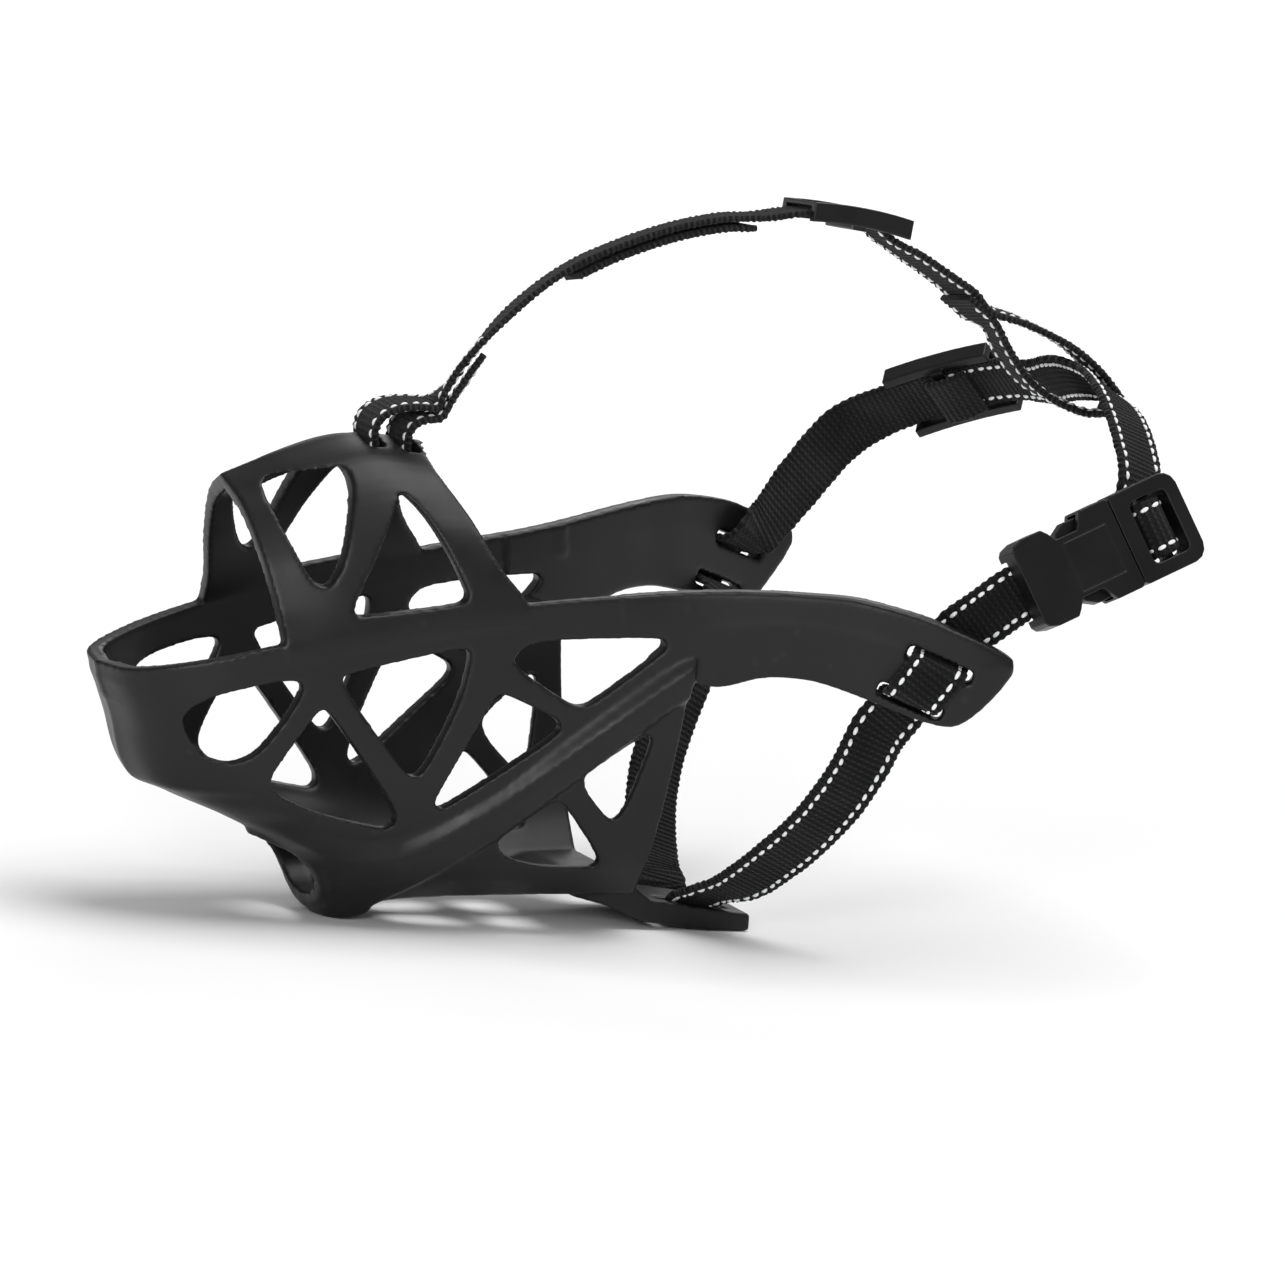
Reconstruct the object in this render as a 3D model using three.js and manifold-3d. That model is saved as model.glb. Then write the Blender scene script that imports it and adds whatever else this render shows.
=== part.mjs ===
// Basket muzzle for a medium dog: one soft moulded basket, webbing straps with
// a side-release buckle and two slide adjusters.  Millimetres, +Z up, nose
// towards -X, the wearer's left side towards -Y.
import * as THREE from 'three';
import * as BGU from 'three/addons/utils/BufferGeometryUtils.js';
import Module from 'manifold-3d';

const wasm = await Module();
wasm.setup();

// ---------------------------------------------------------------- dimensions
const WALL = 2.8;            // basket wall
const RIM_H = 6.2;           // height of the thickened rim belt
const RIM_T = 3.4;           // thickness of the rim belt and the wings
const WEB_W = 10.0;          // webbing width
const WEB_T = 1.2;           // webbing thickness
const GAP = 0.3;             // running gap between pieces
const PITCH = 5.6;           // degrees, puts chin cup and throat tab on one level
const FOOT_CUT = 0.8;        // depth of the flat faces under chin cup and tab
const BUCKLE_W = 16.4, BUCKLE_T = 6.4;
const NECK_SLIDE_L = 20.0, FOREHEAD_SLIDE_L = 18.5, SLIDE_W = 14.0;

// basket side: rows from the rim down, columns from the nose back; [x, half width, z]
const HULL = [
  [[-27,0,-4.3],[-24,10.3,-4.0],[-13,17.5,-2.1],[3,21.0,0.6],[22,23.3,3.3],[45,26.5,5.0],[70,31,5.8]],
  [[-24.2,0,-13],[-21.6,10,-13],[-12,17.5,-13],[4,20.6,-13],[22,23,-12],[45,26.3,-9],[70,31.5,-5]],
  [[-20.6,0,-24.2],[-17.5,8.8,-24.6],[-8.5,15.3,-25.2],[6,19.2,-26],[22,21.8,-25],[45,25.4,-22],[69,29.5,-17]],
  [[-5,0,-33.4],[-3,7.5,-33.4],[3,12.5,-33.9],[11,16.5,-34.4],[24,19.8,-33],[45,22.8,-31],[68,26.5,-27]],
  [[4.6,0,-37.5],[5.8,6.8,-37.5],[9.5,11.2,-38],[15.5,14.2,-38.6],[26,17.6,-38.8],[45,20.2,-38],[67,23.5,-35.5]],
  [[9.3,0,-45],[10.2,6,-45],[13,9.6,-45],[18.5,12.0,-44.5],[28,14.7,-44],[45,17.3,-43.6],[66.5,19.6,-43]],
  [[13.5,0,-51.8],[14.6,3.8,-51.6],[17.5,6.5,-50.6],[22.5,8.6,-48.9],[31,10.6,-48.5],[45,12.4,-48.9],[66,14.5,-49.9]],
];
// nose bridge: rows from the rim to the crown, columns front to back
const BRIDGE = [
  [[0.6,20.8,-3.2],[14,22.6,-1.2],[28,24.4,0.6],[42,26.2,1.5]],
  [[0,20.6,0.2],[14,22.4,2.2],[28,24.2,4.0],[42,26.0,4.9]],
  [[-0.3,17.8,5.5],[12,20.5,8.5],[25,22.3,10.5],[37.8,23.5,11.5]],
  [[-1.6,14.2,14],[10,17,17.5],[21.5,18.3,19.5],[34.5,18.8,19.0]],
  [[-3.0,8.0,22.2],[8.5,9.8,26.3],[20,10.4,28.6],[30.8,10.6,26.8]],
  [[-4.0,0,26.4],[8,0,29.8],[20,0,31.6],[33,0,29.2]],
];
// wing stations: x, half width, top z, bottom z
const WING = [
  [58,28.4,5.5,-3.5],[66,30.2,5.8,-7.5],[73,32.4,5.9,-10.4],[81,35.6,5.8,-8.8],[88,38.6,5.4,-9.3],
  [94.4,41.3,4.8,-11.5],[100,44.0,3.4,-14.0],[106.6,47,1.2,-16.6],[110.5,48.6,-0.7,-17.0],
  [114.2,50.0,-2.4,-14.5],[117.8,51.0,-4.4,-10.8],[119.9,51.6,-6.0,-7.9],
];
const FAR_LIFT = 2.6;        // the far wing is flexed up by this much at its end

// windows through the side walls, in the side plane [x, z]
const SIDE_WINDOWS = {
  nose:   [[-16.6,-13.2],[-16.3,-10.9],[-12.1,-8.0],[-2.9,-6.1],[2.2,-5.9],[3.3,-7.3],[0.7,-12.0],[-3.4,-17.4],[-5.6,-19.2],[-8.8,-20.2],[-12.4,-19.0],[-14.8,-16.7]],
  cheek1: [[5.3,-11.9],[6.6,-11.1],[8.0,-12.0],[20.2,-29.9],[20.2,-32.7],[18.6,-33.2],[15.9,-32.5],[10.8,-31.1],[4.9,-29.0],[-0.9,-25.8],[-2.4,-23.0]],
  cheek2: [[9.1,-6.1],[11.3,-5.1],[29.9,-1.9],[31.9,-2.2],[32.1,-3.9],[30.3,-11.2],[24.4,-23.1],[22.4,-24.1],[20.3,-22.4]],
  cheek3: [[35.9,-11.0],[37.5,-10.2],[39.3,-10.9],[47.4,-15.2],[47.8,-16.8],[46.1,-18.5],[29.1,-29.7],[27.2,-30.0],[26.5,-28.1]],
  cheek4: [[39.5,-4.3],[41.0,-2.3],[44.9,-1.3],[64.0,-1.6],[65.5,-2.5],[64.6,-4.2],[53.4,-12.4],[51.1,-13.2],[48.7,-12.2],[40.1,-5.9]],
  jaw1:   [[52.8,-26.1],[53.5,-24.7],[62.3,-19.0],[63.8,-19.0],[64.0,-20.6],[61.1,-31.5],[59.4,-34.5],[57.8,-33.9],[53.4,-28.6]],
  jaw2:   [[39.1,-37.5],[39.6,-36.2],[47.9,-30.2],[49.6,-30.3],[57.3,-40.7],[57.9,-42.7],[56.7,-43.2],[47.0,-42.3],[40.8,-40.1]],
};
const BRIDGE_WINDOWS = {
  front: [[1.7,26.0],[3.4,26.6],[14.3,28.0],[15.1,27.2],[15.1,24.6],[13.7,20.6],[11.0,13.0],[9.0,10.0],[7.7,9.4],[5.6,10.6],[2.8,17.5],[1.0,23.8]],
  rear:  [[22.1,22.8],[23.0,23.6],[24.0,23.0],[26.7,19.7],[29.5,13.6],[31.6,7.9],[31.7,6.5],[30.5,5.5],[14.2,4.4],[12.3,4.6],[12.2,6.0],[16.6,13.6]],
};
// windows through the floor, in plan [x, y], mirrored
const FLOOR_WINDOWS = [
  [[27,2.0],[36.5,2.0],[40.5,7.6],[38.6,10.2],[30,9.0],[26,5.8]],
  [[46,2.0],[56.5,2.0],[57.5,10.2],[55.6,12.0],[45.5,10.6],[43.6,8.2]],
];

// ------------------------------------------------------------------ helpers
const V = (x, y, z) => new THREE.Vector3(x, y, z);
function catmull(P, n) {
  const c = new THREE.CatmullRomCurve3(P.map((p) => V(p[0], p[1], p[2])), false, 'centripetal');
  const out = [];
  const m = (P.length - 1) * n;
  for (let i = 0; i <= m; i++) out.push(c.getPoint(i / m));
  return out;
}
function surface(G, nu, nv) {
  const rows = G.map((r) => catmull(r, nv));
  const N = rows[0].length;
  const cols = [];
  for (let k = 0; k < N; k++) cols.push(catmull(rows.map((r) => [r[k].x, r[k].y, r[k].z]), nu));
  const out = [];
  for (let i = 0; i < cols[0].length; i++) out.push(cols.map((c) => c[i]));
  return out;
}
function toManifold(geometry) {
  const g = geometry.clone();
  g.deleteAttribute('normal'); g.deleteAttribute('uv');
  const m = BGU.mergeVertices(g, 1e-4);
  return new wasm.Manifold(new wasm.Mesh({ numProp: 3,
    vertProperties: new Float32Array(m.attributes.position.array),
    triVerts: new Uint32Array(m.index.array) }));
}
function toGeometry(man) {
  const mesh = man.getMesh();
  const g = new THREE.BufferGeometry();
  g.setAttribute('position', new THREE.BufferAttribute(new Float32Array(mesh.vertProperties), 3));
  g.setIndex(new THREE.BufferAttribute(new Uint32Array(mesh.triVerts), 1));
  const f = g.toNonIndexed();
  f.computeVertexNormals();
  return f;
}
function solidFrom(pts, tris) {
  const g = new THREE.BufferGeometry();
  const a = new Float32Array(pts.length * 3);
  pts.forEach((p, i) => { a[3 * i] = p.x; a[3 * i + 1] = p.y; a[3 * i + 2] = p.z; });
  let vol = 0;
  for (const [i, j, k] of tris) vol += pts[i].dot(pts[j].clone().cross(pts[k]));
  g.setAttribute('position', new THREE.BufferAttribute(a, 3));
  g.setIndex(tris.flatMap(([i, j, k]) => (vol < 0 ? [i, k, j] : [i, j, k])));
  return g;
}
// closed symmetric solid from one side's grid; centre: which edge lies on y = 0
function symmetricSolid(G, centre) {
  const R = G.length, C = G[0].length;
  const pts = [], idx = [[], []];
  for (let s = 0; s < 2; s++) for (let i = 0; i < R; i++) {
    idx[s][i] = [];
    for (let k = 0; k < C; k++) {
      const onC = (centre === 'col' && k === 0) || (centre === 'row' && i === R - 1);
      if (s === 1 && onC) { idx[s][i][k] = idx[0][i][k]; continue; }
      const p = G[i][k].clone();
      p.y = onC ? 0 : (s === 0 ? -p.y : p.y);
      idx[s][i][k] = pts.length; pts.push(p);
    }
  }
  const T = [];
  const quad = (a, b, c, d) => {
    for (const t of [[a, b, c], [a, c, d]]) if (t[0] !== t[1] && t[1] !== t[2] && t[0] !== t[2]) T.push(t);
  };
  for (let i = 0; i + 1 < R; i++) for (let k = 0; k + 1 < C; k++) {
    quad(idx[0][i][k], idx[0][i][k + 1], idx[0][i + 1][k + 1], idx[0][i + 1][k]);
    quad(idx[1][i][k], idx[1][i + 1][k], idx[1][i + 1][k + 1], idx[1][i][k + 1]);
  }
  const strip = (e0, e1, rev) => {
    for (let m = 0; m + 1 < e0.length; m++) {
      if (rev) quad(e0[m], e0[m + 1], e1[m + 1], e1[m]); else quad(e0[m], e1[m], e1[m + 1], e0[m + 1]);
    }
  };
  strip(idx[0][0], idx[1][0], false);                                   // first row cap
  if (centre === 'col') {
    strip(idx[0][R - 1], idx[1][R - 1], true);                          // last row cap
    strip(idx[0].map((r) => r[C - 1]), idx[1].map((r) => r[C - 1]), false);
  } else {
    strip(idx[0].map((r) => r[0]), idx[1].map((r) => r[0]), true);
    strip(idx[0].map((r) => r[C - 1]), idx[1].map((r) => r[C - 1]), false);
  }
  return solidFrom(pts, T);
}
function offsetGrid(G, t, centre) {
  const R = G.length, C = G[0].length;
  return G.map((row, i) => row.map((p, k) => {
    const a = G[Math.min(i + 1, R - 1)][k].clone().sub(G[Math.max(i - 1, 0)][k]);
    const b = G[i][Math.min(k + 1, C - 1)].clone().sub(G[i][Math.max(k - 1, 0)]);
    const n = a.cross(b);
    if ((centre === 'col' && k === 0) || (centre === 'row' && i === R - 1)) n.y = 0;
    n.normalize();
    if (n.y > 0 || (n.y === 0 && (centre === 'col' ? n.x < 0 : n.z > 0))) n.multiplyScalar(-1);
    const q = p.clone().addScaledVector(n, t);
    if (!((centre === 'col' && k === 0) || (centre === 'row' && i === R - 1))) q.y = Math.max(q.y, 0.12 * p.y + 0.25);
    return q;
  }));
}
// prism through the part along one axis
function prism(poly, axis, from, to) {
  const s = new THREE.Shape(poly.map((p) => new THREE.Vector2(p[0], p[1])));
  const g = new THREE.ExtrudeGeometry(s, { depth: to - from, bevelEnabled: false, steps: 1 });
  g.translate(0, 0, from);
  if (axis === 'y') { g.rotateX(Math.PI / 2); g.scale(1, -1, 1); flip(g); }  // [x,z] outline, depth on +y
  if (axis === 'x') { g.applyMatrix4(new THREE.Matrix4().set(0, 0, 1, 0, 1, 0, 0, 0, 0, 1, 0, 0, 0, 0, 0, 1)); }
  return toManifold(g);
}
function flip(g) {
  if (!g.index) {
    const p = g.attributes.position;
    for (let i = 0; i < p.count; i += 3) {
      for (let c = 0; c < 3; c++) { const a = p.array[3 * (i + 1) + c]; p.array[3 * (i + 1) + c] = p.array[3 * (i + 2) + c]; p.array[3 * (i + 2) + c] = a; }
    }
  } else {
    const a = g.index.array; for (let i = 0; i < a.length; i += 3) { const t = a[i + 1]; a[i + 1] = a[i + 2]; a[i + 2] = t; }
  }
}
function boxM(x0, x1, y0, y1, z0, z1) {
  const g = new THREE.BoxGeometry(x1 - x0, y1 - y0, z1 - z0);
  g.translate((x0 + x1) / 2, (y0 + y1) / 2, (z0 + z1) / 2);
  return toManifold(g);
}
function placed(man, o, a, w, n) {   // local (l, w, n) to the design frame
  return man.transform([a.x, a.y, a.z, 0, w.x, w.y, w.z, 0, n.x, n.y, n.z, 0, o.x, o.y, o.z, 1]);
}
// webbing: stations [x,y,z, wx,wy,wz]; rectangular section swept along them
function webbing(st, sub = 4, width = WEB_W, thick = WEB_T) {
  const C = catmull(st.map((s) => s.slice(0, 3)), sub), W = catmull(st.map((s) => s.slice(3, 6)), sub);
  const pts = [], T = [], M = C.length;
  for (let i = 0; i < M; i++) {
    const t = C[Math.min(i + 1, M - 1)].clone().sub(C[Math.max(i - 1, 0)]).normalize();
    const w = W[i].clone(); w.addScaledVector(t, -w.dot(t)).normalize();
    const n = t.clone().cross(w).normalize();
    for (const [a, b] of [[-1, -1], [1, -1], [1, 1], [-1, 1]]) {
      pts.push(C[i].clone().addScaledVector(w, a * width / 2).addScaledVector(n, b * thick / 2));
    }
  }
  for (let i = 0; i + 1 < M; i++) for (let e = 0; e < 4; e++) {
    const a = 4 * i + e, b = 4 * i + (e + 1) % 4, c = b + 4, d = a + 4;
    T.push([a, b, c], [a, c, d]);
  }
  T.push([0, 2, 1], [0, 3, 2]); const q = 4 * (M - 1); T.push([q, q + 1, q + 2], [q, q + 2, q + 3]);
  return toManifold(solidFrom(pts, T));
}

// ------------------------------------------------------------------- basket
let hullG = surface(HULL, 2, 3);
const outer = toManifold(symmetricSolid(hullG, 'col'));
let inG = offsetGrid(hullG, WALL, 'col');
const last = inG.length - 1;
inG = inG.map((row, i) => row.map((p, k) => { const q = p.clone(); q.z = Math.max(q.z, hullG[last][k].z + WALL + 0.02 * (last - i)); return q; }));
inG.unshift(inG[0].map((p) => V(p.x, p.y, p.z + 14)));
inG = inG.map((row) => { const a = row[row.length - 1], b = row[row.length - 2]; const d = a.clone().sub(b); d.multiplyScalar(12 / d.x); return [...row, a.clone().add(d)]; });
const innerSolid = toManifold(symmetricSolid(inG, 'col'));
let basket = outer.subtract(innerSolid);

// rim belt: runs round the nose and thickens the top edge
function belt(sideSign) {
  const rim = surface(HULL, 1, 3)[0];
  const pts = [], T = [];
  rim.forEach((p, i) => {
    const t = rim[Math.min(i + 1, rim.length - 1)].clone().sub(rim[Math.max(i - 1, 0)]); t.z = 0;
    if (i === 0) t.set(0.25, 1, 0);
    t.normalize();
    const n = V(-t.y, t.x, 0);                       // outward: to -x at the nose, to +h on the side
    const o = p.clone().addScaledVector(n, 0.5), q = p.clone().addScaledVector(n, -RIM_T + 0.5);
    if (i === 0) { o.y = -0.4; q.y = -0.4; o.x = p.x - 0.5; q.x = p.x + RIM_T - 0.5; }
    const h = RIM_H;
    for (const [b, dz] of [[o, 0.2], [q, 0.2], [q, -h], [o, -h]]) pts.push(V(b.x, sideSign * b.y, b.z + dz));
  });
  const M = rim.length;
  for (let i = 0; i + 1 < M; i++) for (let e = 0; e < 4; e++) {
    const a = 4 * i + e, b = 4 * i + (e + 1) % 4; T.push([a, b, b + 4], [a, b + 4, a + 4]);
  }
  T.push([0, 2, 1], [0, 3, 2]); const q = 4 * (M - 1); T.push([q, q + 1, q + 2], [q, q + 2, q + 3]);
  return toManifold(solidFrom(pts, T));
}
function wing(sideSign, lift) {
  const pts = [], T = [];
  const mid = catmull(WING.map((w) => [w[0], w[1], w[2]]), 2), bot = catmull(WING.map((w) => [w[0], w[1], w[3]]), 2);
  const M = mid.length;
  for (let i = 0; i < M; i++) {
    const t = mid[Math.min(i + 1, M - 1)].clone().sub(mid[Math.max(i - 1, 0)]); t.z = 0; t.normalize();
    const n = V(-t.y, t.x, 0);
    const s = Math.min(Math.max((mid[i].x - 60) / 50, 0), 1); const dz = lift * s * s * (3 - 2 * s);
    const top = mid[i], b = bot[i];
    for (const [p, off] of [[top, 0.5], [top, 0.5 - RIM_T], [b, 0.5 - RIM_T], [b, 0.5]]) {
      const v = V(p.x, p.y, p.z).addScaledVector(n, off); pts.push(V(v.x, sideSign * v.y, v.z + dz));
    }
  }
  for (let i = 0; i + 1 < M; i++) for (let e = 0; e < 4; e++) {
    const a = 4 * i + e, c = 4 * i + (e + 1) % 4; T.push([a, c, c + 4], [a, c + 4, a + 4]);
  }
  T.push([0, 2, 1], [0, 3, 2]); const q = 4 * (M - 1); T.push([q, q + 1, q + 2], [q, q + 2, q + 3]);
  return toManifold(solidFrom(pts, T));
}
basket = basket.add(belt(-1)).add(belt(1)).add(wing(-1, 0)).add(wing(1, FAR_LIFT));

// side windows, both sides
for (const poly of Object.values(SIDE_WINDOWS)) {
  basket = basket.subtract(prism(poly, 'y', 2.2, 45)).subtract(prism(poly, 'y', -45, -2.2));
}
// floor windows and the opening for the tongue in the chin cup
for (const poly of FLOOR_WINDOWS) {
  basket = basket.subtract(prism(poly, 'z', -62, -43)).subtract(prism(poly.map(([x, y]) => [x, -y]).reverse(), 'z', -62, -43));
}
{
  const oval = [];
  for (let i = 0; i < 20; i++) { const a = i / 20 * 2 * Math.PI; oval.push([8.0 * Math.cos(a), -41.9 + 5.3 * Math.sin(a)]); }
  basket = basket.subtract(prism(oval, 'x', -2, 16));
}
// nose bridge
const brG = surface(BRIDGE, 2, 4);
let brIn = offsetGrid(brG, WALL, 'row');
{
  const down = brIn[0].map((p) => V(p.x, p.y, p.z - 4));
  brIn.unshift(down);
  brIn = brIn.map((row) => {
    const a0 = row[0].clone().add(row[0].clone().sub(row[1]).multiplyScalar(4));
    const e = row.length - 1; const a1 = row[e].clone().add(row[e].clone().sub(row[e - 1]).multiplyScalar(4));
    return [a0, ...row, a1];
  });
}
let bridge = toManifold(symmetricSolid(brG, 'row')).subtract(toManifold(symmetricSolid(brIn, 'row')));
for (const poly of Object.values(BRIDGE_WINDOWS)) {
  bridge = bridge.subtract(prism(poly, 'y', 2.6, 45)).subtract(prism(poly, 'y', -45, -2.6));
}
// two slots leave a bar for the forehead strap
bridge = bridge.subtract(boxM(21.2, 23.9, -5.9, 5.9, 20, 40)).subtract(boxM(27.3, 30.5, -5.9, 5.9, 20, 40));
basket = basket.add(bridge);

// throat tab with its two slots and the groove under its middle bar
const TAB_SLOPE = -0.2184;
let tab = prism([[52,-47.2],[56,-49.6],[62,-51.7],[68.6,-55.0],[86,-58.8],[88,-58.0],[88.2,-55.2],[70,-51.2],[66,-47.6],[58,-46.4]], 'y', -11.2, 11.2);
const tabSlot = [[72.6,-48],[85.2,-48],[85.2,-64],[72.6,-64]];
tab = tab.subtract(prism(tabSlot, 'y', -8.4, -5.3)).subtract(prism(tabSlot, 'y', 5.3, 8.4));
tab = tab.subtract(prism([[72.6,-53.4],[85.2,-56.15],[85.2,-64],[72.6,-64]], 'y', -7.0, 7.0));
basket = basket.add(tab);

// wing slots: upper and lower, with the bar between them
const WN = V(-0.387, -0.922, 0), WA = V(0.842, -0.354, -0.407), WD = V(-0.375, 0.157, -0.914);
const WC = V(105.5, -46.98, -9.4);
const mir = (v) => V(v.x, -v.y, v.z);
function wingSlots(m, side, dz) {
  const A = side < 0 ? WA : mir(WA), D = side < 0 ? WD : mir(WD), N = side < 0 ? WN : mir(WN);
  const C = (side < 0 ? WC.clone() : mir(WC)).add(V(0, 0, dz));
  for (const [d, a] of [[-3.9, 1.05], [3.9, -1.05]]) {
    let b = boxM(-5.9, 5.9, -1.2, 1.2, -6, 3);
    b = placed(b, C.clone().addScaledVector(D, d).addScaledVector(A, a), A, side < 0 ? D : D.clone().negate(), side < 0 ? N : N.clone());
    if (b.volume() < 0) throw new Error('slot frame');
    m = m.subtract(b);
  }
  return m;
}
basket = wingSlots(basket, -1, 0);
basket = wingSlots(basket, 1, FAR_LIFT * 0.95);

// level feet under the chin cup and the tab
const pitchM = new THREE.Matrix4().makeRotationY(-PITCH * Math.PI / 180);
const rot = (man, m4) => man.transform(Array.from(m4.elements));
{
  let b = rot(basket, pitchM);
  const bb = b.boundingBox();
  const zmin = bb.min[2];
  b = b.subtract(boxM(-100, 300, -100, 100, zmin - 20, zmin + FOOT_CUT));
  basket = rot(b, pitchM.clone().invert());
}

// ------------------------------------------------------------------ webbing
const NR = [-0.567, 0, 0.824];                       // across the neck strap
const wl = (d, n, side, dz) => {                    // wing-local (down, out) to design frame
  const p = WC.clone().addScaledVector(WA, -0.27 * d).addScaledVector(WD, d).addScaledVector(WN, n);
  return [p.x, side < 0 ? p.y : -p.y, p.z + dz, WA.x, side < 0 ? WA.y : -WA.y, WA.z];
};
const wrapDN = [[-3.9,-2.8],[-3.9,-1.0],[-3.7,0.5],[-2.7,1.5],[-1.4,1.75],[0,1.8],[1.4,1.75],[2.7,1.5],[3.7,0.5],[3.9,-1.0],[3.9,-2.8]];
const nearWrap = webbing(wrapDN.map(([d, n]) => wl(d, n, -1, 0)), 1);
const farLift = FAR_LIFT * 0.95;
const farWrap = webbing(wrapDN.map(([d, n]) => wl(d, n, 1, farLift)), 1);
// buckle frame
const BA = V(0.945, 0.135, 0.299).normalize();
const BW = V(0.328, -0.315, -0.894); BW.addScaledVector(BA, -BW.dot(BA)).normalize();
const BN = BA.clone().cross(BW).negate().normalize();                // faces the wearer's left
const BO = V(121.9, -50.2, 5.9);
const bl = (l, w, n) => BO.clone().addScaledVector(BA, l).addScaledVector(BW, w).addScaledVector(BN, n);
const arr = (v) => [v.x, v.y, v.z];
const nb = (l, n) => [...arr(bl(l, 0, n)), -BW.x, -BW.y, -BW.z];
const lean = (k, w = NR) => [w[0] * (1 - k) + -BW.x * k, w[1] * (1 - k) + -BW.y * k, w[2] * (1 - k) + -BW.z * k];

const upN = (d, n) => { const q = wl(d, n, -1, 0); return [q[0], q[1], q[2], -WA.x, -WA.y, -WA.z]; };
const nearNeck = webbing([
  [...upN(-4.7, -4.7)], [...upN(-6.2, -5.6)], [...upN(-9, -5.9)],
  [117.0, -45.9, 1.0, ...lean(0.5, [-0.9, 0.3, 0.35])], [120.9, -47.5, 4.1, ...lean(0.85, [-0.9, 0.3, 0.35])], [...nb(2.2, -2.45)], [...nb(3.1, -2.2)], [...nb(3.8, -0.8)],
], 3);
const nearThroat = webbing([
  wl(4.7, -4.7, -1, 0), wl(6.2, -5.6, -1, 0), wl(8.6, -6.0, -1, 0), wl(12, -6.1, -1, 0),
  [98.0, -36.8, -25.0, 0.85, -0.15, -0.50], [94.9, -34.0, -31.4, 0.85, -0.05, -0.53], [91.4, -29.5, -37.7, 0.85, 0.03, -0.53],
  [87.4, -24.0, -43.5, 0.88, 0.03, -0.48], [83.6, -17.0, -48.8, 0.93, 0.0, -0.36], [80.8, -12.2, -50.8, 0.97, 0, -0.24], [79.9, -9.6, -51.8, 0.977, 0, -0.213],
], 3);
const tabPass = webbing([
  [79.0, -7.5, -52.95, 0.977, 0, -0.213], [79.0, -6.95, -54.0, 0.977, 0, -0.213], [79.0, -6.25, -55.5, 0.977, 0, -0.213], [79.0, -4.8, -56.05, 0.977, 0, -0.213],
  [79.0, 0, -56.1, 0.977, 0, -0.213],
  [79.0, 4.8, -56.05, 0.977, 0, -0.213], [79.0, 6.25, -55.5, 0.977, 0, -0.213], [79.0, 6.95, -54.0, 0.977, 0, -0.213], [79.0, 7.5, -52.95, 0.977, 0, -0.213],
], 2);
const farThroat = webbing([
  wl(4.7, -4.7, 1, farLift), wl(6.2, -5.6, 1, farLift), wl(8.6, -6.0, 1, farLift), wl(12, -6.1, 1, farLift),
  [96.5, 36.8, -24.0, 0.85, 0.15, -0.50], [91.8, 34.0, -31.0, 0.85, 0.05, -0.53], [87.4, 29.5, -37.7, 0.87, -0.03, -0.50],
  [84.2, 24.0, -43.5, 0.90, -0.03, -0.44], [81.6, 17.0, -48.8, 0.94, 0.0, -0.33], [80.0, 12.2, -50.8, 0.97, 0, -0.24], [79.7, 9.6, -51.8, 0.977, 0, -0.213],
], 3);
// neck slide: straight run of webbing through it
const ST = V(0.6664, -0.6727, 0.3206).normalize();
const SO = V(144.7, 36.0, 22.1);
const SW = V(-0.589, -0.211, 0.781); SW.addScaledVector(ST, -SW.dot(ST)).normalize();
const SN = ST.clone().cross(SW).normalize();
const sl = (l) => { const p = SO.clone().addScaledVector(ST, l); return [p.x, p.y, p.z, SW.x, SW.y, SW.z]; };
const upF = (d, n) => { const q = wl(d, n, 1, farLift); return [q[0], q[1], q[2], -WA.x, WA.y, -WA.z]; };
const farNeck = webbing([
  upF(-4.7, -4.7), upF(-6.2, -5.6), [114.3, 44.6, 0.0, -0.80, -0.30, 0.52], [120.8, 46.5, 6.1, -0.68, -0.05, 0.72],
  [129.7, 47.2, 14.1, -0.61, 0.0, 0.78], sl(-9), sl(-4.5), sl(-0.2),
], 3);
const rearNeck = webbing([
  sl(0.2), sl(3), sl(6), [151.9, 26.6, 25.2, -0.585, -0.16, 0.79], [153.8, 19.5, 26.0, -0.58, -0.1, 0.8], [154.2, 10, 28.5, -0.6, 0, 0.8], [153.6, 0, 30.2, -0.65, 0, 0.75],
  [153.2, -10, 30.9, -0.75, 0, 0.65], [152.6, -20, 29.1, -0.85, -0.05, 0.5], [151.4, -29, 24.2, -0.85, -0.05, 0.5], [150.0, -35, 18.8, -0.7, 0.1, 0.7],
  [...nb(28.4, -9.0)], [...nb(27.0, -5.6)],
], 3);
const maleWrap = webbing([
  nb(24.7, -4.2), nb(24.7, -2.0), nb(24.75, 0.4), nb(25.5, 1.9), nb(27.0, 2.25), nb(28.5, 1.9), nb(29.25, 0.4), nb(29.3, -2.0), nb(29.3, -4.2),
], 2);
// forehead strap
const Y = [0, 1, 0];
const FY = [0.29, 0.94, -0.13];                    // width of the forehead strap where it is turned a little
const EW = [-0.0304, 0.99, -0.1184];               // and where it runs through the slide
const RW = [-0.45, 0.88, 0.1];                     // and behind it
const frontLoop = webbing([
  [34.3, 0, 35.5, ...Y], [30.2, 0, 35.9, ...Y], [26.4, 0, 35.7, ...Y], [23.6, 0, 34.2, ...Y], [22.6, 0, 32.0, ...Y], [22.75, 0, 29.4, ...Y],
  [22.9, 0, 26.2, ...Y], [25.6, 0, 23.9, ...Y], [28.4, 0, 26.2, ...Y], [28.5, 0, 29.4, ...Y], [28.8, 0, 31.2, ...Y], [29.8, 0, 32.7, ...Y], [31.8, 0, 33.5, ...Y], [34.5, 0, 33.6, ...Y],
], 2);
const OT = V(0.9686, 0, -0.2487).normalize(), OC = V(110.5, 0, 61.5);
const ol = (l) => [OC.x + OT.x * l, 0, OC.z + OT.z * l, ...EW];
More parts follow.
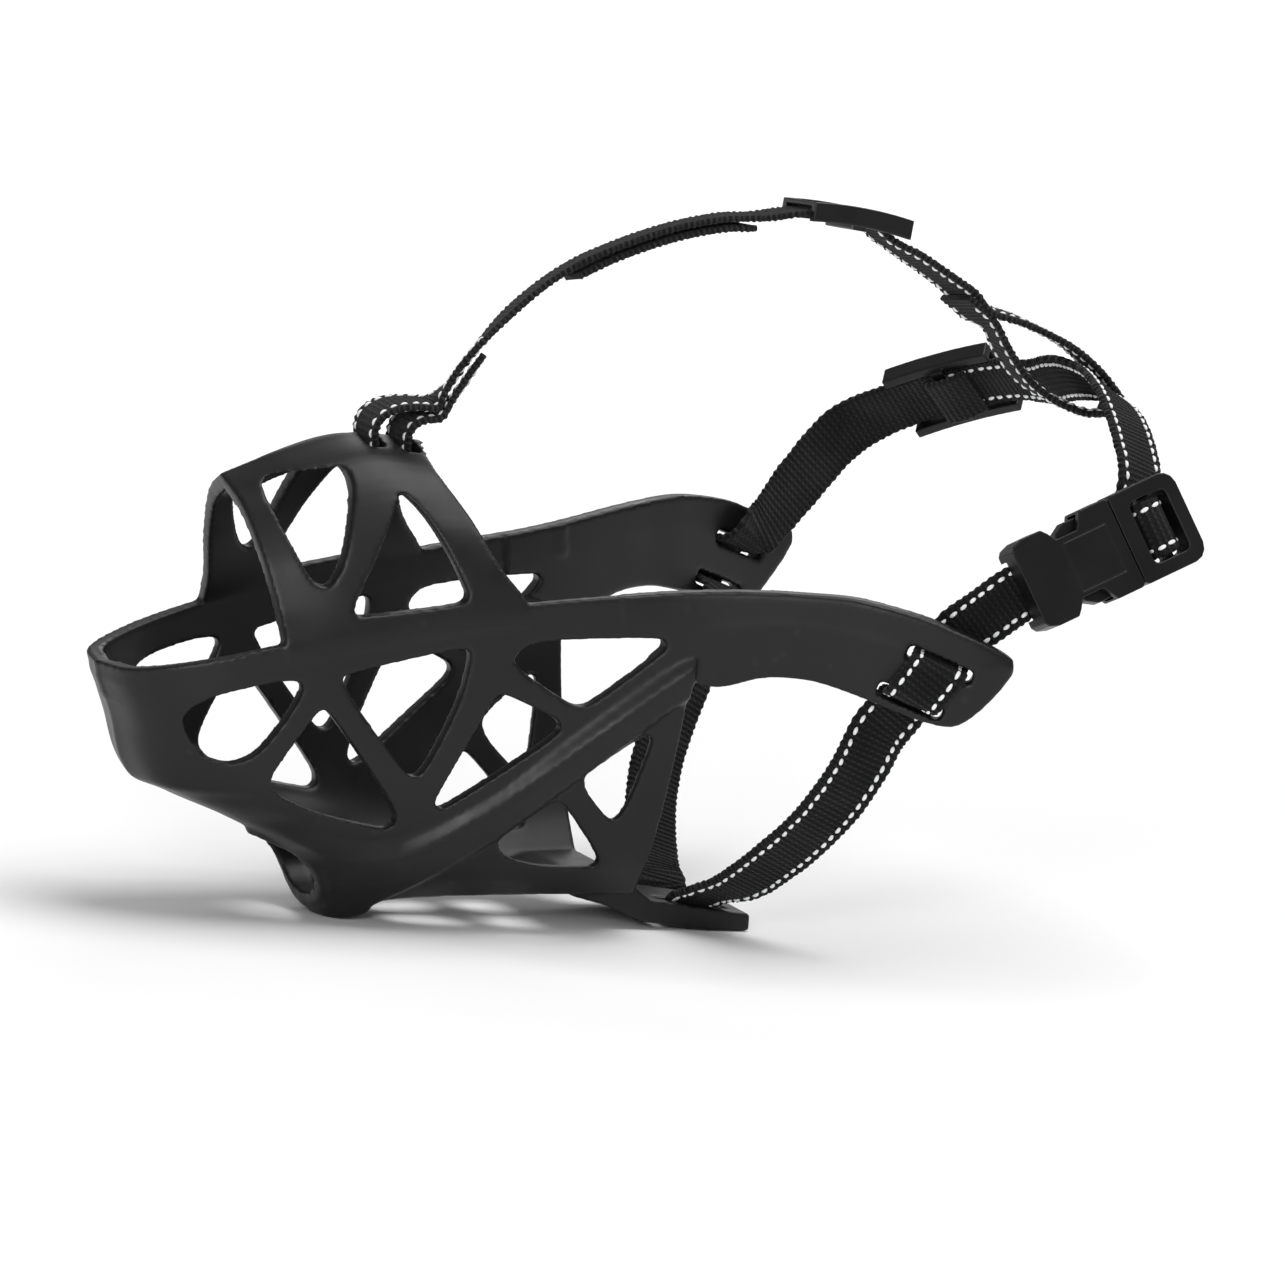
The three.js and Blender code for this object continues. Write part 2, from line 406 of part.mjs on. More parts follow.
const overMain = webbing([
  [35.2, 0, 36.1, 0.15, 0.98, -0.1], [38.2, 0, 39.1, 0.366, 0.907, -0.21], [41.3, 0, 42.8, 0.366, 0.907, -0.21], [47.9, 0, 49.3, ...FY], [54.8, 0, 54.4, ...FY], [61.2, 0, 57.7, ...FY], [66.7, 0, 59.6, ...FY],
  [73.7, 0, 61.5, ...FY], [80.6, 0, 62.8, ...FY], [87.7, 0, 63.4, ...FY], [94.5, 0, 63.1, ...EW], [99.5, -0.12, 63.4, ...EW], ol(-7.5), ol(-4), ol(-0.2),
], 2);
const overEnd = webbing([   // sewn end under the first part of the strap
  [36.8, 0, 34.6, 0.25, 0.95, -0.15], [39.8, 0, 37.7, 0.366, 0.907, -0.21], [42.8, 0, 41.5, 0.366, 0.907, -0.21], [43.9, 0, 42.8, 0.366, 0.907, -0.21],
], 2);
const overTail = webbing([
  [60.3, 0, 55.3, ...FY], [67.3, 0, 57.9, ...FY], [74.1, 0, 59.8, ...FY], [80.8, 0, 61.1, ...FY], [87.7, 0, 61.7, ...FY], [92.0, 0, 61.5, ...FY],
], 2);
const overRear = webbing([
  ol(0.2), ol(2.4), [115.0, -0.2, 59.5, ...EW], [117.0, -0.3, 57.5, ...EW], [121.0, -0.3, 54.9, ...RW], [125.6, -0.15, 51.6, ...RW], [129.3, 0, 48.8, ...RW], [132.2, 0, 46.4, ...RW], [134.8, 0, 44.4, ...Y],
], 2);
const rearLoop = webbing([
  [136.4, 0, 43.5, ...Y], [141.2, 0, 41.7, ...Y], [145.8, 0, 39.4, ...Y], [150.2, 0, 36.8, ...Y], [154.2, 0, 33.4, ...Y], [157.3, 0, 29.8, ...Y], [159.1, 0, 26.6, ...Y],
  [157.6, 0, 24.4, 0.25, 0.95, -0.15], [154.4, 0, 24.5, 0.3, 0.93, -0.17], [150.6, 0, 26.0, 0.25, 0.95, -0.1], [146.4, 0, 28.2, ...Y], [142.4, 0, 31.6, ...Y], [139.2, 0, 36.2, ...Y], [136.9, 0, 40.0, ...Y], [133.9, 0, 42.0, ...RW], [131.7, -0.1, 43.5, ...RW],
], 2);

// ----------------------------------------------------------- buckle, slides
function plate(poly, n0, n1) {          // outline in (l, w), thickness in n
  const g = new THREE.ExtrudeGeometry(new THREE.Shape(poly.map((p) => new THREE.Vector2(p[0], p[1]))), { depth: n1 - n0, bevelEnabled: false });
  g.translate(0, 0, n0); return toManifold(g);
}
const HW = BUCKLE_W / 2, HT = BUCKLE_T / 2;
const inB = (m) => placed(m, BO, BA, BW, BN.clone());
const lw = inB;
let female = plate([[0.6,-7.4],[2.4,-8.0],[6.4,-8.0],[7.4,-6.9],[8.4,-5.4],[12.6,-5.4],[13.6,-6.9],[14.4,-8.2],[19.4,-8.2],[20,-7.7],[20,7.7],[19.4,8.2],[14.4,8.2],[13.6,6.9],[12.6,5.4],[8.4,5.4],[7.4,6.9],[6.4,8.0],[2.4,8.0],[0.6,7.4],[0,6.6],[0,-6.6]], -HT, HT);
female = female.subtract(boxM(2.2, 5.2, -5.6, 5.6, -10, 1.2));              // web slot, open to the back
female = female.subtract(boxM(-1, 2.3, -5.4, 5.4, -4, -1.0));               // webbing passes under the flange
female = female.subtract(boxM(6.6, 21, -7.75, 7.75, -1.75, 1.75));          // socket
let male = plate([[20.3,-7.7],[21.0,-8.2],[31.6,-8.2],[33.2,-6.9],[33.2,6.9],[31.6,8.2],[21.0,8.2],[20.3,7.7]], -2.9, 2.9);
male = male.subtract(boxM(23.7, 30.3, -5.7, 5.7, -6, 6)).add(boxM(26.0, 28.0, -6.2, 6.2, -1.1, 1.1));
male = male.add(boxM(9.4, 20.8, -1.3, 1.3, -1.4, 1.4));                     // guide tongue
const prongPoly = [[20.0,3.4],[20.0,5.6],[15.0,6.3],[14.2,7.4],[11.6,7.45],[9.4,6.2],[8.6,4.9],[9.0,4.3],[11.4,4.9],[14.6,4.4]];
const prongU = plate(prongPoly.map(([l, w]) => [l, -w]).reverse(), -1.4, 1.4);
const prongL = plate(prongPoly, -1.4, 1.4);
function slide(L) {                                  // two bowed side rails, end bars above the webbing, centre bar under it
  const rail = [];
  for (let i = 0; i <= 10; i++) { const t = -1 + i / 5; rail.push([t * L / 2, -1.1 - 0.6 * t * t]); }
  for (let i = 10; i >= 0; i--) { const t = -1 + i / 5; rail.push([t * L / 2, 2.2 - 0.6 * t * t]); }
  let m = prism(rail, 'y', -SLIDE_W / 2, -SLIDE_W / 2 + 1.7).add(prism(rail, 'y', SLIDE_W / 2 - 1.7, SLIDE_W / 2));
  m = m.add(boxM(-L / 2, -L / 2 + 2.4, -6, 6, 0.9, 1.65)).add(boxM(L / 2 - 2.4, L / 2, -6, 6, 0.9, 1.65));
  return m.add(boxM(-1.2, 1.2, -6, 6, -1.8, -1.0));
}
const OY = V(...EW); OY.addScaledVector(OT, -OY.dot(OT)).normalize();
const ON = OT.clone().cross(OY).normalize();

// ------------------------------------------------------------------ assembly
const mats = {
  rubber: { color: 0x232323, roughness: 0.55, metalness: 0.0 },
  web: { color: 0x141414, roughness: 0.9, metalness: 0.0 },
  web2: { color: 0x1b1b1b, roughness: 0.9, metalness: 0.0 },
  plastic: { color: 0x0f0f10, roughness: 0.4, metalness: 0.0 },
};
const design = new THREE.Group();
function add(name, man, mat) {
  const m = new THREE.Mesh(toGeometry(man), new THREE.MeshStandardMaterial(mats[mat]));
  m.name = name; design.add(m); return m;
}
add('muzzle_basket', basket, 'rubber');
add('buckle_female', lw(female), 'plastic');
add('buckle_male', lw(male), 'plastic');
add('buckle_prong_upper', lw(prongU), 'plastic');
add('buckle_prong_lower', lw(prongL), 'plastic');
add('neck_slide', placed(slide(NECK_SLIDE_L), SO, ST, SW.clone().negate(), SN.clone().negate()), 'plastic');
add('forehead_slide', placed(slide(FOREHEAD_SLIDE_L), OC, OT, OY, OT.clone().cross(OY)), 'plastic');
add('strap_neck_near', nearNeck, 'web');
add('strap_wing_wrap_near', nearWrap, 'web');
add('strap_throat_near', nearThroat, 'web');
add('strap_tab_pass', tabPass, 'web2');
add('strap_throat_far', farThroat, 'web');
add('strap_wing_wrap_far', farWrap, 'web');
add('strap_neck_far', farNeck, 'web2');
add('strap_neck_rear', rearNeck, 'web');
add('strap_plug_wrap', maleWrap, 'web');
add('strap_forehead_front_loop', frontLoop, 'web');
add('strap_forehead_sewn_end', overEnd, 'web2');
add('strap_forehead_main', overMain, 'web');
add('strap_forehead_tail', overTail, 'web2');
add('strap_forehead_rear', overRear, 'web');
add('strap_forehead_rear_loop', rearLoop, 'web2');

// level, centred on X and Y, resting on Z = 0
design.rotation.y = -PITCH * Math.PI / 180;
const group = new THREE.Group();
group.name = 'basket_muzzle';
group.add(design);
group.updateMatrixWorld(true);
const box = new THREE.Box3();
design.traverse((o) => { if (o.isMesh) { const p = o.geometry.attributes.position, v = new THREE.Vector3(); for (let i = 0; i < p.count; i++) box.expandByPoint(v.fromBufferAttribute(p, i).applyMatrix4(o.matrixWorld)); } });
design.position.set(-(box.min.x + box.max.x) / 2, -(box.min.y + box.max.y) / 2, -box.min.z);
group.updateMatrixWorld(true);
export default group;
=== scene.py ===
import bpy, bmesh, math
import numpy as np
from mathutils import Vector, Matrix


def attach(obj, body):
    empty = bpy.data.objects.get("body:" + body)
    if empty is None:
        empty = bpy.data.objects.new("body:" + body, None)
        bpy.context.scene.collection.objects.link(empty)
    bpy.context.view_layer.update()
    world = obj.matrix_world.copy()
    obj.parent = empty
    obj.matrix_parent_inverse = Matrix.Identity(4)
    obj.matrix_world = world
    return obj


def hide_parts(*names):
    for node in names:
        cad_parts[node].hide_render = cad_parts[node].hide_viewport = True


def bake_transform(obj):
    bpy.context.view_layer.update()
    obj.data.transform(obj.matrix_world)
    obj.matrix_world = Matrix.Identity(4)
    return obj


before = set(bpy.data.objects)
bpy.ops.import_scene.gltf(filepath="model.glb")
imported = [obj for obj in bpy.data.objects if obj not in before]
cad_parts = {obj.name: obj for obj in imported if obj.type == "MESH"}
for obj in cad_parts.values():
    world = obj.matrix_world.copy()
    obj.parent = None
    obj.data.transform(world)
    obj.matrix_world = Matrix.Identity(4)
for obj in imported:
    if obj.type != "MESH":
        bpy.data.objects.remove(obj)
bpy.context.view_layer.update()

rng = np.random.default_rng(7)

# ---------------------------------------------------------------- frame
PITCH = math.radians(5.6)
CP, SP = math.cos(PITCH), math.sin(PITCH)
# design frame (mm) -> row frame (m)
RM = np.array([[CP, 0, -SP], [0, 1, 0], [SP, 0, CP]])
SHIFT = np.array([-64.78176556352224, 1.684885025024414, 49.4354110760653])


def to_row(P):
    P = np.atleast_2d(np.asarray(P, float))
    return (P @ RM.T + SHIFT) / 1000.0


def dir_row(v):
    return RM @ np.asarray(v, float)


def catmull(P, n, closed=False):
    P = np.asarray(P, float)
    if closed:
        Q = np.vstack([P[-1], P, P[0], P[1]]); segs = len(P)
    else:
        Q = np.vstack([2 * P[0] - P[1], P, 2 * P[-1] - P[-2]]); segs = len(P) - 1
    out = []
    for i in range(segs):
        p0, p1, p2, p3 = Q[i], Q[i + 1], Q[i + 2], Q[i + 3]
        t0 = 0.0
        t1 = t0 + max(np.linalg.norm(p1 - p0), 1e-6) ** .5
        t2 = t1 + max(np.linalg.norm(p2 - p1), 1e-6) ** .5
        t3 = t2 + max(np.linalg.norm(p3 - p2), 1e-6) ** .5
        for t in np.linspace(t1, t2, n, endpoint=False):
            A1 = (t1 - t) / (t1 - t0) * p0 + (t - t0) / (t1 - t0) * p1
            A2 = (t2 - t) / (t2 - t1) * p1 + (t - t1) / (t2 - t1) * p2
            A3 = (t3 - t) / (t3 - t2) * p2 + (t - t2) / (t3 - t2) * p3
            B1 = (t2 - t) / (t2 - t0) * A1 + (t - t0) / (t2 - t0) * A2
            B2 = (t3 - t) / (t3 - t1) * A2 + (t - t1) / (t3 - t1) * A3
            out.append((t2 - t) / (t2 - t1) * B1 + (t - t1) / (t2 - t1) * B2)
    if not closed:
        out.append(P[-1])
    return np.array(out)


def surface(G, nu, nv):
    rows = [catmull(r, nv) for r in G]
    cols = [catmull(np.array([r[k] for r in rows]), nu) for k in range(len(rows[0]))]
    return np.array(cols).transpose(1, 0, 2)


def mesh_object(name, verts, faces, row=True):
    me = bpy.data.meshes.new(name)
    v = to_row(verts) if row else np.asarray(verts, float)
    me.from_pydata([tuple(p) for p in v], [], [tuple(f) for f in faces])
    me.validate(); me.update()
    ob = bpy.data.objects.new(name, me)
    bpy.context.scene.collection.objects.link(ob)
    return ob


def fix_normals(ob):
    bm = bmesh.new(); bm.from_mesh(ob.data)
    bmesh.ops.recalc_face_normals(bm, faces=bm.faces)
    if bm.calc_volume(signed=True) < 0:
        bmesh.ops.reverse_faces(bm, faces=bm.faces)
    bm.to_mesh(ob.data); bm.free()


def shade_smooth(ob, on=True):
    ob.data.polygons.foreach_set("use_smooth", [on] * len(ob.data.polygons)); ob.data.update()


def apply_mods(ob):
    dg = bpy.context.evaluated_depsgraph_get()
    me = bpy.data.meshes.new_from_object(ob.evaluated_get(dg))
    old = ob.data
    ob.modifiers.clear(); ob.data = me
    bpy.data.meshes.remove(old)


def boolean(ob, cutters, op="DIFFERENCE", solver="MANIFOLD"):
    for c in cutters:
        m = ob.modifiers.new("b", "BOOLEAN"); m.object = c; m.operation = op; m.solver = solver
    apply_mods(ob)
    for c in cutters:
        me = c.data; bpy.data.objects.remove(c); bpy.data.meshes.remove(me)


# ---------------------------------------------------------------- design tables (mm)
HULL = np.array([
    [(-27,0,-4.3),(-24,10.3,-4.0),(-13,17.5,-2.1),(3,21.0,0.6),(22,23.3,3.3),(45,26.5,5.0),(70,31,5.8)],
    [(-24.2,0,-13),(-21.6,10,-13),(-12,17.5,-13),(4,20.6,-13),(22,23,-12),(45,26.3,-9),(70,31.5,-5)],
    [(-20.6,0,-24.2),(-17.5,8.8,-24.6),(-8.5,15.3,-25.2),(6,19.2,-26),(22,21.8,-25),(45,25.4,-22),(69,29.5,-17)],
    [(-5,0,-33.4),(-3,7.5,-33.4),(3,12.5,-33.9),(11,16.5,-34.4),(24,19.8,-33),(45,22.8,-31),(68,26.5,-27)],
    [(4.6,0,-37.5),(5.8,6.8,-37.5),(9.5,11.2,-38),(15.5,14.2,-38.6),(26,17.6,-38.8),(45,20.2,-38),(67,23.5,-35.5)],
    [(9.3,0,-45),(10.2,6,-45),(13,9.6,-45),(18.5,12.0,-44.5),(28,14.7,-44),(45,17.3,-43.6),(66.5,19.6,-43)],
    [(13.5,0,-51.8),(14.6,3.8,-51.6),(17.5,6.5,-50.6),(22.5,8.6,-48.9),(31,10.6,-48.5),(45,12.4,-48.9),(66,14.5,-49.9)],
], float)
BRIDGE = np.array([
    [(0.6,20.8,-3.2),(14,22.6,-1.2),(28,24.4,0.6),(42,26.2,1.5)],
    [(0,20.6,0.2),(14,22.4,2.2),(28,24.2,4.0),(42,26.0,4.9)],
    [(-0.3,17.8,5.5),(12,20.5,8.5),(25,22.3,10.5),(37.8,23.5,11.5)],
    [(-1.6,14.2,14),(10,17,17.5),(21.5,18.3,19.5),(34.5,18.8,19.0)],
    [(-3.0,8.0,22.2),(8.5,9.8,26.3),(20,10.4,28.6),(30.8,10.6,26.8)],
    [(-4.0,0,26.4),(8,0,29.8),(20,0,31.6),(33,0,29.2)],
], float)
WING = np.array([
    [58,28.4,5.5,-3.5],[66,30.2,5.8,-7.5],[73,32.4,5.9,-10.4],[81,35.6,5.8,-8.8],[88,38.6,5.4,-9.3],
    [94.4,41.3,4.8,-11.5],[100,44.0,3.4,-14.0],[106.6,47,1.2,-16.6],[110.5,48.6,-0.7,-17.0],
    [114.2,50.0,-2.4,-14.5],[117.8,51.0,-4.4,-10.8],[119.9,51.6,-6.0,-7.9]], float)
FAR_LIFT = 2.6
WALL, RIM_T, RIM_H = 2.8, 3.4, 6.2
SIDE_WINDOWS = {
    "nose": [(-16.6,-13.2),(-16.3,-10.9),(-12.1,-8.0),(-2.9,-6.1),(2.2,-5.9),(3.3,-7.3),(0.7,-12.0),(-3.4,-17.4),(-5.6,-19.2),(-8.8,-20.2),(-12.4,-19.0),(-14.8,-16.7)],
    "cheek1": [(5.3,-11.9),(6.6,-11.1),(8.0,-12.0),(20.2,-29.9),(20.2,-32.7),(18.6,-33.2),(15.9,-32.5),(10.8,-31.1),(4.9,-29.0),(-0.9,-25.8),(-2.4,-23.0)],
    "cheek2": [(9.1,-6.1),(11.3,-5.1),(29.9,-1.9),(31.9,-2.2),(32.1,-3.9),(30.3,-11.2),(24.4,-23.1),(22.4,-24.1),(20.3,-22.4)],
    "cheek3": [(35.9,-11.0),(37.5,-10.2),(39.3,-10.9),(47.4,-15.2),(47.8,-16.8),(46.1,-18.5),(29.1,-29.7),(27.2,-30.0),(26.5,-28.1)],
    "cheek4": [(39.5,-4.3),(41.0,-2.3),(44.9,-1.3),(64.0,-1.6),(65.5,-2.5),(64.6,-4.2),(53.4,-12.4),(51.1,-13.2),(48.7,-12.2),(40.1,-5.9)],
    "jaw1": [(52.8,-26.1),(53.5,-24.7),(62.3,-19.0),(63.8,-19.0),(64.0,-20.6),(61.1,-31.5),(59.4,-34.5),(57.8,-33.9),(53.4,-28.6)],
    "jaw2": [(39.1,-37.5),(39.6,-36.2),(47.9,-30.2),(49.6,-30.3),(57.3,-40.7),(57.9,-42.7),(56.7,-43.2),(47.0,-42.3),(40.8,-40.1)],
}
BRIDGE_WINDOWS = {
    "front": [(1.7,26.0),(3.4,26.6),(14.3,28.0),(15.1,27.2),(15.1,24.6),(13.7,20.6),(11.0,13.0),(9.0,10.0),(7.7,9.4),(5.6,10.6),(2.8,17.5),(1.0,23.8)],
    "rear": [(22.1,22.8),(23.0,23.6),(24.0,23.0),(26.7,19.7),(29.5,13.6),(31.6,7.9),(31.7,6.5),(30.5,5.5),(14.2,4.4),(12.3,4.6),(12.2,6.0),(16.6,13.6)],
}
FLOOR_WINDOWS = [
    [(27,2.0),(36.5,2.0),(40.5,7.6),(38.6,10.2),(30,9.0),(26,5.8)],
    [(46,2.0),(56.5,2.0),(57.5,10.2),(55.6,12.0),(45.5,10.6),(43.6,8.2)],
]
# ridge band: above this line the side is set back, below the lower line too (side plane x, z)
BAND_TOP = np.array([(-22,-15.5),(-16,-20.0),(-9.5,-25.5),(-1.5,-29.8),(9.5,-34.4),(16,-35.6),(21.8,-35.2),(26,-33.2),(37,-27.0),(50,-17.5),(62,-9.0),(68,-5.0),(74,-2.5)], float)
BAND_LOW = np.array([(18,-50.2),(22,-47.5),(28,-43.2),(38,-36.6),(48,-28.6),(58,-20.8),(66,-14.5),(72,-11.0)], float)


def sm(a, b, x):
    t = np.clip((x - a) / (b - a), 0, 1)
    return t * t * (3 - 2 * t)


def poly_z(line, x):
    return np.interp(x, line[:, 0], line[:, 1])


def relief(x, z):
    """how far the outer skin stands proud of the hull at side position (x, z)"""
    zt = poly_z(BAND_TOP, x); zl = poly_z(BAND_LOW, x)
    st = np.gradient(BAND_TOP[:, 1], BAND_TOP[:, 0])
    slope = np.interp(x, BAND_TOP[:, 0], st)
    dt = (zt - z) / np.sqrt(1 + slope ** 2)                   # distance below the top line
    amp = 0.10 + 2.0 * sm(-2, 18, x)
    up = np.clip(dt / 2.5, 0, 1)
    down = 1 - 0.75 * np.clip((dt - 2.5) / 6.0, 0, 1)
    low = np.where(x < 20, 1.0, sm(-0.7, 0.5, (z - zl) / 1.28))
    return amp * up * down * low - 0.9 * (1 - low) * (dt > 0)


def normals(G, centre):
    R, C, _ = G.shape
    a = np.empty_like(G); b = np.empty_like(G)
    a[1:-1] = G[2:] - G[:-2]; a[0] = G[1] - G[0]; a[-1] = G[-1] - G[-2]
    b[:, 1:-1] = G[:, 2:] - G[:, :-2]; b[:, 0] = G[:, 1] - G[:, 0]; b[:, -1] = G[:, -1] - G[:, -2]
    n = np.cross(a, b)
    if centre == "col":
        n[:, 0, 1] = 0
    else:
        n[-1, :, 1] = 0
    n /= np.linalg.norm(n, axis=-1, keepdims=True) + 1e-12
    inward = -np.sign(n[..., 1]); inward[inward == 0] = 1
    if centre == "col":
        inward[:, 0] = np.where(n[:, 0, 0] < 0, -1, 1)
    else:
        inward[-1] = np.where(n[-1, :, 2] > 0, -1, 1)
    return n * inward[..., None]                              # points inwards


def offset(G, t, centre):
    n = normals(G, centre)
    Q = G + n * (t[..., None] if hasattr(t, "shape") else t)
    m = np.ones(G.shape[:2], bool)
    if centre == "col":
        m[:, 0] = False
    else:
        m[-1] = False
    Q[..., 1] = np.where(m, np.maximum(Q[..., 1], 0.12 * G[..., 1] + 0.25), 0)
    return Q


def symmetric(name, G, centre):
    R, C, _ = G.shape
    pts = []; idx = np.zeros((2, R, C), int)
    for s in range(2):
        for i in range(R):
            for k in range(C):
                on = (centre == "col" and k == 0) or (centre == "row" and i == R - 1)
                if s and on:
                    idx[1, i, k] = idx[0, i, k]; continue
                p = G[i, k].copy(); p[1] = 0 if on else (p[1] if s else -p[1])
                idx[s, i, k] = len(pts); pts.append(p)
    F = []

    def quad(*q):
        r = []
        for v in q:
            if v not in r:
                r.append(v)
        if len(r) >= 3:
            F.append(r)
    for i in range(R - 1):
        for k in range(C - 1):
            quad(idx[0, i, k], idx[0, i, k + 1], idx[0, i + 1, k + 1], idx[0, i + 1, k])
            quad(idx[1, i, k], idx[1, i + 1, k], idx[1, i + 1, k + 1], idx[1, i, k + 1])

    def strip(a, b):
        for m in range(len(a) - 1):
            quad(a[m], b[m], b[m + 1], a[m + 1])
    strip(idx[0, 0], idx[1, 0])
    strip(idx[0, :, C - 1], idx[1, :, C - 1])
    if centre == "col":
        strip(idx[0, R - 1], idx[1, R - 1])
    else:
        strip(idx[0, :, 0], idx[1, :, 0])
    ob = mesh_object(name, pts, F); fix_normals(ob)
    return ob


def tube(name, sections, cap=True):
    S = [np.asarray(s, float) for s in sections]
    m = len(S[0]); pts = np.vstack(S); F = []
    for i in range(len(S) - 1):
        for e in range(m):
            a = i * m + e; b = i * m + (e + 1) % m
            F.append((a, b, b + m, a + m))
    F.append(tuple(range(m))); F.append(tuple(range((len(S) - 1) * m, len(S) * m)))
    ob = mesh_object(name, pts, F); fix_normals(ob)
    return ob


def round_poly(P, r=1.0, n=4):
    """rounds a polygon's corners"""
    P = np.asarray(P, float)
    for _ in range(2):
        Q = []
        for i in range(len(P)):
            a, b = P[i], P[(i + 1) % len(P)]
            Q += [a * .78 + b * .22, a * .22 + b * .78]
        P = np.array(Q)
    return P


def prism(name, poly, axis, lo, hi, rounded=True):
    P = round_poly(poly) if rounded else np.asarray(poly, float)
    A = []
    for d in (lo, hi):
        for a, b in P:
            A.append({"y": (a, d, b), "z": (a, b, d), "x": (d, a, b)}[axis])
    m = len(P)
    F = [tuple(range(m)), tuple(range(m, 2 * m))] + [(e, (e + 1) % m, (e + 1) % m + m, e + m) for e in range(m)]
    ob = mesh_object(name, A, F); fix_normals(ob)
    return ob


def rim_path(step=3):
    return surface(HULL, 1, 6)[0]


def lift(x):
    return FAR_LIFT * sm(60, 110, x)


def make_basket():
    G = surface(HULL, 20, 12)
    under = sm(-24, -29, G[..., 2]) * (1 - sm(-33.5, -37, G[..., 2])) * (1 - sm(2, 9, G[..., 0]))
    G[..., 2] += 1.5 * under                                   # the underside of the nose runs straighter into the chin cup
    r = relief(G[..., 0], G[..., 2])
    outerG = offset(G, -r, "col")
    outer = symmetric("basket_moulding", outerG, "col")
    I = offset(G, WALL, "col")
    zb = G[-1, :, 2]
    fade = 0.02 * (len(G) - 1 - np.arange(len(G)))[:, None]
    I[..., 2] = np.maximum(I[..., 2], zb[None, :] + WALL + fade)
    I = np.vstack([(I[0] + np.array([0, 0, 14]))[None], I])
    d = I[:, -1] - I[:, -2]; d *= (12 / d[:, :1])
    I = np.concatenate([I, (I[:, -1] + d)[:, None]], axis=1)
    inner = symmetric("in", I, "col")
    boolean(outer, [inner])
    adds = []
    rim = rim_path()
    for s in (-1, 1):
        sec = []
        for i, p in enumerate(rim):
            t = rim[min(i + 1, len(rim) - 1)] - rim[max(i - 1, 0)]; t[2] = 0
            if i == 0:
                t = np.array([0.25, 1.0, 0])
            t = t / np.linalg.norm(t); n = np.array([-t[1], t[0], 0])
            o = p + n * 0.5; q = p - n * (RIM_T - 0.5)
            if i == 0:
                o = np.array([p[0] - 0.5, -0.4, p[2]]); q = np.array([p[0] + RIM_T - 0.5, -0.4, p[2]])
            ring = []
            for b, dz in ((o - n * .7, 0.30), (q + n * .1, 0.1), (q, -RIM_H + 1.2), (q + n * 1.2, -RIM_H), (o - n * 2.3, -RIM_H), (o - n * 1.0, -RIM_H + 3.4)):
                ring.append((b[0], s * b[1], b[2] + dz))
            sec.append(ring)
        adds.append(tube("rim", sec))
        W = catmull(WING[:, [0, 1, 2]], 5); B = catmull(WING[:, [0, 1, 3]], 5)
        sec = []
        for i in range(len(W)):
            t = W[min(i + 1, len(W) - 1)] - W[max(i - 1, 0)]; t[2] = 0; t /= np.linalg.norm(t)
            n = np.array([-t[1], t[0], 0]); dz = lift(W[i, 0]) if s > 0 else 0
            zt, zb = W[i, 2], B[i, 2]; h = zt - zb; ring = []
            k = sm(60, 76, W[i, 0])
            for z, off in ((zt + .2, 0.1), (zt + .2, 0.6 - RIM_T), (zt - 0.3 * h, 0.5 - RIM_T), (zb + .5, 0.5 - RIM_T), (zb, 1.1 - RIM_T), (zb, 0.3), (zb + .7, 0.55), (zt - .36 * h, 0.6 + 0.25 * k), (zt - .30 * h, 0.6 + .1 * k), (zt - 0.5, 0.45)):
                ring.append((W[i, 0] + n[0] * off, s * (W[i, 1] + n[1] * off), z + dz))
            sec.append(ring)
        adds.append(tube("wing", sec))
    # thick rolled lip round the opening for the tongue
    flat = G.reshape(-1, 3)
    flat = flat[flat[:, 0] < 20]
    for a0, a1 in ((-0.25, math.pi + 0.25), (math.pi - 0.25, 2 * math.pi + 0.25)):
        sec = []
        for a in np.linspace(a0, a1, 26):
            y, z = 9.1 * math.cos(a), -41.9 + 6.4 * math.sin(a)
            dd = (flat[:, 1] - abs(y)) ** 2 + (flat[:, 2] - z) ** 2
            near = np.argsort(dd)[:4]
            wgt = 1 / (dd[near] + 0.05)
            x = float((flat[near, 0] * wgt).sum() / wgt.sum()) + 0.75
            rad = np.array([0, 8.0 * math.cos(a) / 8.0, math.sin(a)])
            rad /= np.linalg.norm(rad)
            sec.append([(x + 1.75 * math.cos(t), y + rad[1] * 1.75 * math.sin(t), z + rad[2] * 1.75 * math.sin(t)) for t in np.linspace(0, 2 * math.pi, 13)[:-1]])
        adds.append(tube("lip", sec))
    boolean(outer, adds, "UNION")
    cut = []
    for k, P in SIDE_WINDOWS.items():
        cut += [prism(k, P, "y", 2.2, 45), prism(k, P, "y", -45, -2.2)]
    for P in FLOOR_WINDOWS:
        cut += [prism("f", P, "z", -62, -43), prism("f", [(x, -y) for x, y in P], "z", -62, -43)]
    oval = [(8.0 * math.cos(a), -41.9 + 5.3 * math.sin(a)) for a in np.linspace(0, 2 * math.pi, 25)[:-1]]
    cut.append(prism("mouth", oval, "x", -2, 16, False))
    boolean(outer, cut)
